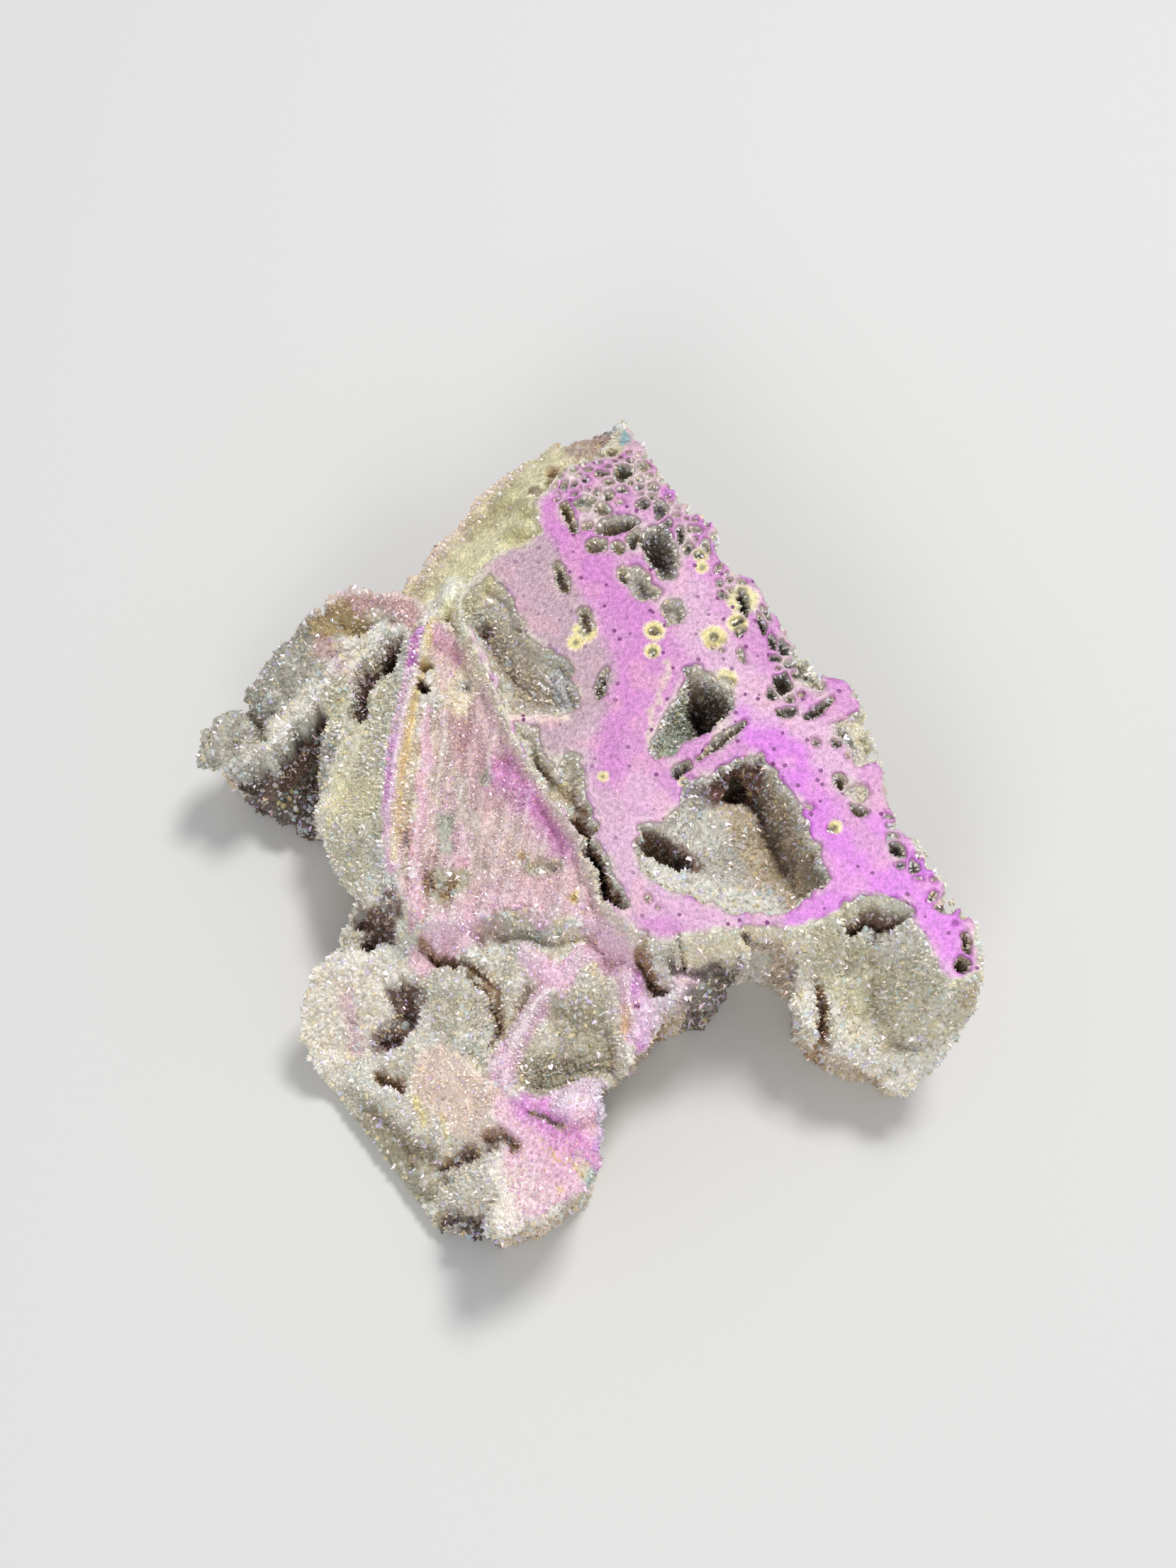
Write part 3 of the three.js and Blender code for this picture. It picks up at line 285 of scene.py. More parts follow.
# Fine relief on the broken stone: line, half width and rise. A groove has a rise below zero.
WELTS = [
    ([(-14.3, 19.6), (-15.1, 14.1), (-17, 7.5), (-17.9, -2.9), (-17.1, -7)], 0.5, 0.5),
    ([(-15, 13.7), (-15.9, 7.3), (-16.6, 2.5), (-16.6, -4.5)], 0.8, -1.1),
    (SEAMS["spine_pleat"], 0.8, 0.7),
    ([(-13.7, 18), (-11.4, 17.2), (-8.6, 14.5), (-7.9, 11.8), (-7.4, 8.4), (-5.8, 4.5), (-2.9, -0.2),
      (-0.5, -2.6), (1, -5.6), (2.5, -9)], 1, 0.6),
    ([(-12.5, 15), (-11, 8), (-9.5, 3), (-8, -2)], 2.6, -0.5),
    ([(-12.2, 12), (-11.7, 6.8), (-10.6, 1.7), (-9.6, -3.4), (-8.6, -7.3)], 0.6, -0.5),
    ([(-10.2, 12), (-9, 6), (-7.2, 0), (-5.6, -6)], 0.7, 0.35),
    ([(-12.9, 9), (-13.2, 3), (-13.6, -2.8)], 0.7, 0.6),
    ([(-12.1, -1.7), (-12.1, -5.5)], 0.8, -0.7),
    ([(-10.8, -3.8), (-11.4, -6.8), (-11.8, -8.2)], 0.8, 0.7),
    ([(-6, 2), (-4, -3), (-3, -5)], 1.6, 0.5),
    (SEAMS["shoulder_arch"], 1.4, 0.7),
    ([(-9, -14), (-6, -13.3), (-4, -13.4), (-1.5, -14.5)], 1.3, -1.2),
    (SEAMS["saddle_lip"], 1, 0.7),
    ([(-2.5, -19.2), (-4.9, -22.4), (-6.5, -25.6), (-8.5, -29.3)], 0.9, 0.8),
    ([(-4.1, -18.2), (-5.9, -21.5), (-6.8, -24)], 0.5, -1.2),
    ([(-14.8, -13.8), (-12.3, -15.7), (-9.4, -16.7), (-7.5, -18.4), (-7, -21.6), (-7.7, -24.2)], 0.6, -0.8),
    ([(-8.3, -29.2), (-5.5, -30.2), (-3, -30.8), (-0.6, -32.3), (1.3, -34.2)], 1.5, 0.9),
    ([(-6.4, -28.9), (-3, -29.4), (-0.9, -29.1), (0.6, -28.3), (2.5, -27.7)], 0.8, 0.8),
    ([(2.5, -27.5), (3, -31.2), (2.6, -35.5)], 0.8, 0.6),
    ([(-3.9, -30.9), (-2.4, -31.6), (-1.2, -32)], 0.4, -1),
    ([(-19.3, -26.3), (-16.1, -27.6), (-14.5, -30.4), (-12, -32), (-9.8, -32.6)], 1, 0.8),
    ([(-20.7, -28.5), (-17.8, -30.8), (-14.6, -32.3), (-11.5, -33.3), (-6.8, -33.3)], 1.4, -0.6),
    ([(-12.1, -27.1), (-9.8, -29.6)], 2.2, 0.6),
    ([(-8.4, -34.4), (-5.6, -34.7), (-6.8, -37.5)], 1.4, 0.9),
    ([(4.7, -17.4), (5.6, -20), (6.3, -23)], 0.9, 0.8),
    ([(11, -14.8), (15.6, -15.1), (20.2, -14.5), (26, -13.2)], 0.9, 0.5),
    ([(22.8, -18.4), (22.3, -22.5)], 1.7, 1.1),
    ([(27.5, -17), (31, -18.5), (34, -20)], 3.2, -1.6),
    ([(37.6, -17.5), (37.4, -20.5), (36, -23.5)], 1.2, 0.8),
    ([(25.5, -15.5), (26, -20)], 1.2, 0.7),
    ([(26, -22.3), (28, -22.9)], 1.7, 0.9),
    ([(37.2, -22.3), (34.4, -24), (31.5, -25.8)], 1.1, 0.9),
    ([(36, -20.5), (31, -22.5)], 1.2, -0.7),
    ([(24.3, -17.6), (24.9, -19.9), (24.9, -23.3)], 0.6, -1),
    ([(32.3, -13.3), (33, -15.6)], 1.3, 1),
    ([(-27.7, 20.5), (-26.4, 22), (-23, 23.5), (-19.9, 22.8), (-16.5, 22), (-15.6, 21)], 0.8, 1),
    ([(-19.8, 20), (-23.1, 18.3), (-24.3, 15.9), (-26.5, 11.6), (-28.1, 9.9), (-31.6, 7.1)], 0.8, 1.3),
    ([(-34, 13), (-32.8, 11), (-32, 9.1)], 0.7, -1.4),
    ([(-31.9, 7.7), (-33.7, 5.6), (-36.9, 4.3), (-38.8, 4.4)], 0.7, 0.6),
    ([(-32.3, 7.9), (-34.2, 6.8), (-37, 5.6)], 0.5, -0.6),
]
# Cleft lines whose bare walls are brown: line, reach of the brown, and its tint. The gully's and the toe
# cave's lines are painted shade instead.
BROWN_LINES = [
    ([(0.6, -2.6), (2.3, -5.2), (2.3, -7.5), (3.9, -10.7)], 0.9, "brown"),
    ([(1.6, -5.4), (2.4, -7.6), (3.8, -10.6)], 0.3, "umber"),
    (SEAMS["arm_slit"], 1.3, "umber"),
    ([(-20.6, -10.6), (-18.4, -11.6), (-20.2, -13.4)], 1.4, "umber"),
    ([(-17, -17), (-15.9, -20.5), (-18.3, -22.3)], 1.4, "umber"),
    ([(-14.8, -13.8), (-12.3, -15.7), (-9.4, -16.7), (-7.3, -18.6), (-7, -21.6), (-7.7, -24.2)],
     0.4, "brown"),
    ([(-20, -25), (-17.5, -25.8)], 0.9, "brown"),
    # painted shade in the trough of the foot's gully
    ([(-20.7, -28.2), (-18, -30.4), (-14.5, -32.6), (-12.7, -33.8)], 1, "gully_shade"),
    (SEAMS["foot_crevice"], 0.6, "brown"),
    (SEAMS["toe_crevice"], 0.6, "brown"),
    ([(-10.9, -33.2), (-10.2, -33)], 0.5, "umber"),
    ([(-7.4, -33), (-6.4, -33.3)], 0.6, "umber"),
    # painted shade in the cave under the toe
    (SEAMS["toe_cave"], 1.4, "shade_cocoa"),
    ([(6.5, -16), (7.5, -18), (8.5, -19.5)], 0.6, "brown"),
    ([(24.3, -18), (24.9, -20), (24.8, -23)], 0.7, "brown"),
    ([(-14, -8.4), (-12.8, -10.2), (-11.8, -9)], 0.9, "brown"),
    ([(-15.2, 12.2), (-15.2, 10.8)], 0.7, "umber"),
    ([(7, -5.6), (10.5, -7.2)], 1.4, "brown"),
]

# Pits in the skin: centre, half sizes, turn in degrees (anticlockwise) and depth.
PITS = [
    (14.5, 4.6, 0.5, 2.8, -50, 4), (10.3, 1.4, 0.5, 1.1, -45, 4), (-1.2, 22.4, 0.6, 1.8, 15, 3),
    (1.1, 17.8, 0.7, 1.4, 10, 2.5), (2.8, 10.7, 0.5, 1.7, -15, 3), (4.3, 28.4, 2.1, 1, 15, 3.5),
    (6, 26.6, 0.6, 1.1, -35, 8), (-0.6, 29.5, 0.6, 1.7, 20, 3), (2.2, 26, 1.1, 0.8, 0, 2.5),
    (5.1, 34.5, 0.8, 1.3, 0, 2.5), (0.9, 30.9, 1, 0.7, 0, 1.5), (2.9, 30.1, 0.7, 0.7, 0, 2),
    (3.6, 31.7, 0.6, 0.5, 0, 2), (7.1, 30.9, 0.6, 0.6, 0, 2), (8.8, 30.2, 0.6, 1.1, 0, 2),
    (9.3, 22.6, 0.8, 0.5, 0, 2), (9.9, 18.5, 1.1, 1.4, 0, 2), (4.9, 22.8, 0.5, 0.8, 0, 2),
    (12.6, 27.9, 0.8, 0.5, -20, 1.5), (13.3, 26, 0.5, 0.8, 10, 1.5), (17, 19.6, 0.4, 1.4, 10, 5),
    (16.3, 17.3, 0.5, 0.5, 0, 2), (20.6, 10.7, 0.8, 1.1, 0, 3), (21, 7.4, 0.8, 0.6, 0, 1.5),
    (24.2, 7.9, 0.5, 1.7, -53, 2.5), (20.8, 14.6, 0.5, 0.8, 0, 2.5), (18.8, 17.2, 0.4, 0.9, 15, 2.5),
    (25.7, 0.4, 0.5, 0.7, 0, 3), (27.6, -2.9, 0.7, 0.5, -30, 3.5), (31.1, -6.9, 0.8, 0.7, 0, 2.5),
    (32.5, -8.5, 0.6, 0.6, 0, 1.5), (35.3, -12.4, 0.9, 0.8, 0, 3), (37, -16.1, 0.4, 0.9, 0, 3),
    (36.4, -18.2, 0.6, 0.7, 0, 5), (8, 16.3, 0.4, 0.4, 0, 1.5), (-3, -7.4, 1.5, 0.9, 0, 0.8),
    (-14.8, 13.9, 0.6, 0.6, 0, 3), (-2.6, -31.2, 1.9, 0.3, -20, 0.9),
]
# Finer pits, too small for the part's solid: centre, half sizes, turn and depth.
FINE_PITS = [
    (5.6, 36.2, 0.45, 0.5, 0, 1.5), (7.2, 35.2, 0.6, 0.7, 0, 1.5), (5.6, 33.4, 0.4, 0.5, 0, 1.5),
    (6.6, 32.7, 0.35, 0.35, 0, 1.2), (8.2, 32.7, 0.6, 0.5, 0, 1.2), (5, 32.5, 0.6, 0.4, 0, 1.2),
    (4.4, 31.3, 0.35, 0.3, 0, 1), (2.3, 32.3, 0.35, 0.3, 0, 1), (1.3, 28.2, 0.5, 0.4, 0, 1.5),
    (4.6, 25.8, 0.8, 0.6, 0, 2), (10.8, 27.3, 0.3, 1, 5, 2), (11.6, 30, 0.5, 0.3, -25, 1.2),
    (11.4, 29, 0.3, 0.3, 0, 1), (12.2, 28.8, 0.35, 0.3, 0, 1), (13.4, 28.4, 0.25, 0.25, 0, 1),
    (13.4, 27.5, 0.25, 0.25, 0, 1), (9.6, 31.8, 0.25, 0.25, 0, 1), (10, 31, 0.25, 0.25, 0, 1),
    (12.6, 25, 0.4, 0.4, 0, 1.2), (16.2, 23.3, 0.5, 0.6, 10, 1.5), (17.3, 23.4, 0.5, 0.5, 0, 1.2),
    (16.6, 16.4, 0.45, 0.45, 0, 1.5), (14, 15.5, 0.3, 0.3, 0, 0.8), (14.5, 15.1, 0.3, 0.3, 0, 0.8),
    (13.8, 14.8, 0.3, 0.3, 0, 0.8), (14.6, 14.3, 0.25, 0.25, 0, 0.8), (19.8, 14.9, 0.3, 1, 10, 1.8),
    (19.2, 18.6, 0.3, 0.9, 15, 1.5), (16.6, 13.8, 0.25, 0.8, 15, 1), (7.8, 13.8, 0.35, 0.3, 20, 1),
    (15, 10.7, 0.7, 0.5, 0, 1), (24.8, -4.8, 0.35, 0.35, 0, 1.2), (22.8, -2.4, 0.3, 0.3, 0, 0.8),
    (11, 0.2, 0.35, 0.3, 0, 1), (22.4, 9.5, 0.3, 0.3, 0, 1), (21.3, 9, 0.3, 0.3, 0, 1),
    (31.6, -8.4, 0.4, 0.35, 0, 1), (33, -7.6, 0.3, 0.4, 0, 1), (34.4, -9.9, 0.35, 0.3, 0, 1),
    (34.3, -11.7, 0.45, 0.4, 0, 1.5), (27.6, -1, 0.9, 0.8, 0, 1), (-0.1, -10.8, 0.35, 0.5, 0, 1.2),
    (7, -11.8, 0.3, 0.35, 0, 1), (8, -12.8, 0.25, 0.3, 0, 1), (19.5, 9.3, 0.4, 0.6, 30, 1.5),
    (10.3, -16.4, 0.3, 1.1, 25, 2.5), (-9.2, 2.2, 0.7, 0.5, 0, 0.8), (-10.8, 12, 0.6, 0.5, 0, 0.8),
    (-22, -19.5, 0.3, 0.3, 0, 1), (-15, 11.6, 0.6, 0.7, 0, 3), (5.9, -20.2, 0.5, 0.4, 0, 1.5),
]

# Lines along which the skin is full of small cells: line, reach to each side and number of cells.
CELL_BELTS = [
    ([(-1, 33.5), (2, 34.5), (6, 35.5)], 2.2, 34),
    ([(8, 33), (10.5, 29), (13, 26.5)], 1.7, 24),
    ([(15.5, 22), (17.5, 20), (19.5, 16.5), (21.5, 13)], 1.6, 14),
    ([(20, 10), (23, 7), (26, 4)], 1.6, 4),
    ([(30, -3), (31.5, -7), (34, -10.5), (36.5, -14)], 1.3, 7),
]
CELL_SEED = 7
CELL_SIZES = (0.22, 0.48)  # smaller half size, mm
CELL_LENGTHS = (0.9, 1.7)  # the other half size, in smaller ones
CELL_DEPTH = 3  # in smaller half sizes
CELL_WALL = 0.1  # least stone between two cells, mm


def small_cells():
    """Small pits scattered along the belts, none too near another pit."""
    draw = np.random.default_rng(CELL_SEED)
    cells = []
    for line, reach, count in CELL_BELTS:
        low = np.min(line, axis=0) - reach
        high = np.max(line, axis=0) + reach
        wanted = len(cells) + count
        for _ in range(60 * count):
            x, y = draw.uniform(low, high)
            size = draw.uniform(*CELL_SIZES)
            gaps = [math.hypot(x - p[0], y - p[1]) - max(p[2], p[3]) for p in PITS + FINE_PITS + cells]
            if nearest(line, x, y)[0] < reach and min(gaps) > size + CELL_WALL and len(cells) < wanted:
                length = size * draw.uniform(*CELL_LENGTHS)
                cells.append((x, y, size, length, draw.uniform(0, 180), CELL_DEPTH * size))
    return cells


# Where the stone is open below its skin: centre and half sizes.
UNDERCUTS = {
    "under_the_bar": ((14.2, 3.4, 15.6), (3.4, 5, 4.8)),
    "under_the_notch_rim": ((18.5, -15.5, 6), (3.4, 3.6, 7.5)),
    "eye_socket": ((8.6, -7.6, 16.5), (3.2, 2, 3)),
    "under_the_arm_edge": ((-30, 4.5, 8.5), (7, 2.2, 3)),
    "brown_mouth": ((2.2, -8.4, 15), (1.6, 3.8, 5)),
    "bowl_lip": ((-1, -27.8, 13), (3.4, 1.5, 1.6)),
}

# Colour washes in painter's order: line, half width, soft edge, colour and strength.
# Those of the flat coated skin:
SKIN_WASHES = [
    (SEAMS["middle"], 3.4, 1.6, "frosted", 1),
    (SEAMS["middle_tail"], 2, 2, "lilac_pink", 0.8),
    ([(-6.5, 26.5), (-4.5, 29), (-4, 31.5), (-1, 34)], 1, 1, "blush", 0.7),
    ([(-2.5, 31.5), (-1, 28), (1.5, 24), (3.5, 21.5), (6.5, 18), (7.5, 16)], 1.2, 1.6, "rose_magenta", 1),
    ([(7.5, 16), (6, 11), (5, 8), (3.5, 4), (4, 0.5)], 1, 1.8, "rose_magenta", 0.9),
    ([(17, 7), (20.5, 3), (23, -3), (25, -8.5), (31, -11), (33.5, -14), (35, -18)], 1.5, 1.6, "magenta", 1),
    ([(10, 32.5), (12, 30), (15, 28), (17.5, 23.5), (19.5, 20), (20.5, 15.5), (22.5, 11), (26, 11)],
     0.7, 1.4, "rose_magenta", 0.8),
    ([(29, -4), (32.5, -7.5), (35, -11.5), (36, -15.5)], 0.8, 1.2, "magenta", 0.9),
    ([(11.5, 21), (12.5, 17), (15, 13), (18.5, 8.5)], 1.4, 2, "pale_pink", 0.95),
    ([(21.5, 7), (24, 4.5), (26, 0.5)], 1.1, 1.5, "pale_pink", 0.8),
    ([(6.5, -0.5), (8.5, -3), (5, -5.5)], 1.2, 1.5, "pale_pink", 0.8),
    ([(4, -10), (8, -12), (11, -13.5), (15.5, -14)], 1, 1, "pale_pink", 0.7),
    ([(21, -14), (23.5, -13), (27.5, -10.5)], 0.8, 1, "magenta", 0.8),
    ([(9.1, 12.6), (8.6, 10.2), (8, 6.3), (7.6, 4)], 0.1, 0.45, "straw", 0.6),
    ([(-1, 36.4), (0.5, 36.6), (2, 37.6)], 0.7, 0.6, "tan", 0.9),
    ([(0.5, 37.4), (2.5, 39.4), (3.4, 41), (3.6, 38.6)], 1.7, 0.5, "tan", 1),
    ([(5, 40), (5.6, 38.2), (6.9, 36.4)], 0.8, 0.6, "blush", 0.9),
    ([(4.3, 42.3), (6.2, 40.9), (7.6, 38.8), (8.6, 36.8)], 0.6, 0.4, "bone", 1),
    ([(3.6, 42), (4.4, 40.3), (4.7, 38.4)], 0.4, 0.3, "teal", 1),
    ([(-6, 7.3), (-4, 7), (-1.5, 7.2)], 0.5, 0.6, "peach", 0.9),
]
# Those of the broken stone, among them painted shade under the notch's rim, under the arm and in the toe
# cave:
STONE_WASHES = [
    ([(-16, 25), (-12, 30), (-9, 34), (-5, 37.5), (-1.5, 40)], 3.4, 2, "tan", 0.85),
    ([(-4, 29.5), (-5.5, 26.5), (-8.5, 24.5), (-11, 22.5), (-14, 21)], 2.2, 1.6, "straw", 0.95),
    ([(-12.5, 26), (-8, 30), (-5, 34), (-3, 37)], 1.6, 1.5, "straw", 0.6),
    ([(-6.2, 32), (-4.3, 30.8)], 0.9, 0.8, "olive", 0.8),
    ([(-6.5, 28.2), (-3.8, 27.4)], 0.9, 0.8, "olive", 0.7),
    ([(-10.5, 30.5), (-8.5, 32.5), (-6.5, 35)], 0.7, 0.9, "olive", 0.6),
    ([(-2.5, 35.2), (-1.6, 34.4)], 0.7, 0.5, "brown", 0.8),
    ([(-4.2, 33.4), (-3.6, 33)], 0.4, 0.4, "umber", 0.7),
    ([(-17, 27.5), (-12.5, 33), (-8, 37.6)], 0.6, 0.6, "peach", 0.8),
    ([(4, 43), (6, 42.5), (7.5, 40)], 1, 0.8, "bone", 0.9),
    ([(3.2, 42.2), (4.5, 40)], 0.5, 0.5, "teal", 0.9),
    ([(0.5, 39.5), (3, 39.5), (3.5, 38)], 1.6, 1, "mauve_brown", 0.9),
    ([(-32, 14.5), (-29.5, 16.5), (-27, 19)], 2.6, 1.4, "lead", 0.85),
    ([(-37.5, 6.5), (-35.5, 10), (-33.5, 12)], 2.6, 1, "lead", 0.7),
    ([(-25, 22.8), (-21, 23), (-17, 22), (-15.5, 20)], 1.1, 0.9, "arm_rose", 0.9),
    ([(-26, 18.5), (-24.5, 17)], 0.8, 1, "arm_rose", 0.6),
    ([(-26, 20.6), (-24.2, 21), (-22.6, 20.3)], 1.2, 0.6, "gold_brown", 0.8),
    ([(-19, 19.8), (-23.1, 18.3), (-24.3, 15.9), (-26.5, 11.9), (-28.1, 10.2), (-31.6, 7.5),
      (-37.5, 4.9)], 0.8, 0.8, "bone", 0.8),
    ([(-22, 15), (-24.5, 15.5)], 0.7, 0.8, "blush", 0.5),
    ([(-21.5, 12.5), (-22, 4.5), (-22, -3)], 3, 2, "lichen", 0.6),
    ([(-23, 2.5), (-21, 1)], 1.6, 1.6, "straw", 0.45),
    ([(-14.5, 19.5), (-14.5, 21.5), (-12.5, 23)], 1, 1, "bone", 0.8),
    ([(-15.5, -2.5), (-15.5, -7.5), (-15.5, -12)], 0.4, 0.4, "blush", 0.9),
    ([(-0.5, -8), (-3.5, -9.5), (-7.5, -11.5), (-12, -14), (-14.5, -15)], 1.2, 0.8, "blush", 0.9),
    (SEAMS["shoulder_arch"], 1.1, 0.5, "candy", 0.9),
    (SEAMS["saddle_lip"], 0.9, 0.4, "candy", 0.95),
    ([(2, -12), (4, -14.5), (5.5, -17)], 1.5, 1, "candy", 0.8),
    ([(-3, -19), (-4.5, -22), (-6, -24.5), (-7, -27.5), (-7.5, -30.5)], 0.9, 0.5, "candy", 0.9),
    ([(8.5, -15), (9.5, -13), (11.5, -13.5), (11.5, -16.5), (10.5, -19)], 0.9, 0.5, "candy", 0.95),
    ([(3.1, -15), (5.2, -17), (6, -20), (6.4, -22.5)], 1.3, 0.6, "candy", 0.9),
    ([(6, -18), (6.6, -20.5), (7.2, -23), (7, -25)], 0.6, 0.6, "orchid", 0.8),
    ([(4.9, -20.5), (5.2, -22.5)], 0.25, 0.4, "apricot", 0.7),
    ([(-25.5, -17), (-22, -17.5), (-19.5, -18.5), (-22.5, -22)], 3, 1.2, "cream", 0.9),
    ([(-22.5, -18), (-22, -21.5)], 0.5, 0.8, "blush", 0.6),
    ([(-13.6, -8), (-12.6, -9.8), (-11.4, -8.4)], 1.1, 0.6, "moss", 0.9),
    (SEAMS["fold_cell"], 0.8, 0.4, "moss", 0.7),
    ([(-8, -13.2), (-5.8, -12.6), (-4.4, -13.6)], 0.7, 0.8, "moss", 0.6),
    ([(-15.5, -27), (-14, -29.5), (-12, -31.5)], 1.2, 0.9, "cream", 0.9),
    # painted shade under the rim of the notch
    ([(10, -17), (12.6, -16.4), (15.2, -16.2)], 1.2, 0.5, "shade_cocoa", 0.9),
    ([(-13.5, -25.8), (-10.8, -28.3), (-8.5, -30.5)], 2.2, 0.9, "peach", 0.9),
    ([(-15.4, -27.3), (-14.8, -29.3)], 0.15, 0.4, "halo", 0.7),
    ([(-13.1, -29.1), (-12.3, -31.8)], 0.12, 0.35, "halo", 0.7),
    ([(11, -15.8), (17, -15), (20.5, -15), (26.5, -13.3)], 1, 0.7, "beige", 1),
    ([(7.6, -20.5), (8.4, -22.5)], 1.6, 1, "pale_lilac", 0.8),
    ([(31.5, -14.5), (33.5, -16)], 1.2, 0.8, "bone", 0.9),
    ([(26, -16), (29, -17.5), (33, -20), (36, -20.5)], 2.4, 2, "lichen", 0.6),
    ([(-23, -26), (-19, -29.5), (-15.5, -32)], 1.2, 1.2, "moss", 0.7),
    ([(-21.5, -24), (-17.5, -26.4)], 0.8, 0.8, "bone", 0.7),
    ([(32.5, -13), (33.5, -15)], 0.8, 0.8, "bone", 0.8),
    ([(23, -24.5), (29, -26.5), (34, -26)], 1.2, 1.2, "bone", 0.5),
    ([(0.8, -21.5), (0.8, -24.2), (-2.6, -26.6)], 2.2, 1.4, "moss", 0.9),
    ([(-25, -26.5), (-14.6, -39)], 0.7, 0.5, "core", 0.85),
    ([(-21, -27.8), (-17.8, -31.8), (-15, -35.6)], 0.9, 1, "core", 0.75),
    ([(-11.5, -17.8), (-11.8, -21)], 2, 1, "moss", 0.55),
    # painted shade on the lumps in the notch
    ([(15.6, -17.8), (13, -19.2), (11.5, -20)], 0.9, 0.8, "shade_cocoa", 0.8),
    ([(35, -13.6), (36.6, -16.2), (37.5, -19.5)], 1, 1, "khaki_brown", 0.7),
    # painted shade under the arm's edge
    ([(-27, 8), (-28.5, 4), (-33, 3.6), (-36, 3.4)], 2.2, 0.8, "shade_cocoa", 0.9),
    # painted shade in the cave under the toe, this line and the next
    ([(-12.6, -39.2), (-10.6, -40.2), (-8.9, -40.8)], 1.5, 0.6, "gully_shade", 1),
    ([(-12, -39.6), (-10.4, -40.6), (-9.2, -41.2)], 0.9, 0.6, "shade_cocoa", 0.9),
    ([(-19.5, -11.5), (-18, -10.5)], 1.3, 0.7, "umber", 0.9),
    ([(-19, -21.5), (-17, -20.5), (-15.5, -19)], 1.1, 0.6, "umber", 0.85),
    ([(-18, -21), (-17.4, -20.8)], 0.5, 0.4, "gold_brown", 0.9),
]
# Washes on the spine's thin crest, and on the pink patch of the left foot.
CREST_WASHES = [
    ([(-16, 17.5), (-16.5, 13.5), (-17.1, 9.6), (-17.7, 3), (-17.9, -2), (-17.6, -6.8)],
     0.7, 0.3, "candy", 1),
    ([(-15.8, 17.8), (-16.3, 14.8)], 0.45, 0.5, "orchid", 0.9),
    ([(-17.6, 5.5), (-18.1, 0.4), (-18.1, -3)], 0.3, 0.4, "orchid", 0.8),
    ([(-14.3, 19), (-15.3, 13.2), (-16.4, 7), (-17, 1.9), (-17.3, -3.1), (-17.4, -6.5)],
     0.3, 0.25, "halo", 0.6),
    ([(-14.6, 18), (-15.4, 13), (-16.5, 6), (-17.1, 1)], 0.08, 0.2, "apricot", 0.6),
]
PATCH_WASHES = [
    ([(-1.5, -32.5), (2, -35.5)], 1.3, 1.5, "deep_magenta", 0.5),
    ([(-4.5, -30), (-1.5, -31)], 1, 1, "orchid", 0.7),
    ([(-0.5, -29.5), (3, -28.5)], 1.4, 0.7, "pale_lilac", 0.9),
    ([(2.8, -28.5), (2.8, -34)], 0.3, 0.4, "violet", 0.4),
    ([(-7.6, -34.6), (-6.9, -38), (-6.6, -41)], 0.7, 0.7, "cream", 0.9),
    ([(-2.9, -33.6), (-1, -35.4), (1.6, -37)], 0.4, 0.5, "halo", 0.7),
    ([(-2.5, -41.5), (1, -40)], 0.4, 0.5, "violet", 0.5),
    ([(-4.3, -30.6), (-2.6, -31.2), (-1, -31.9)], 0.25, 0.3, "moss", 0.9),
    ([(-1.5, -38), (-1.3, -37.9)], 0.4, 0.5, "halo", 0.9),
    ([(1.5, -37), (1.7, -36.8)], 0.4, 0.5, "teal", 0.7),
    ([(-6, -41), (-4, -41.5)], 0.8, 0.8, "cream", 0.7),
]
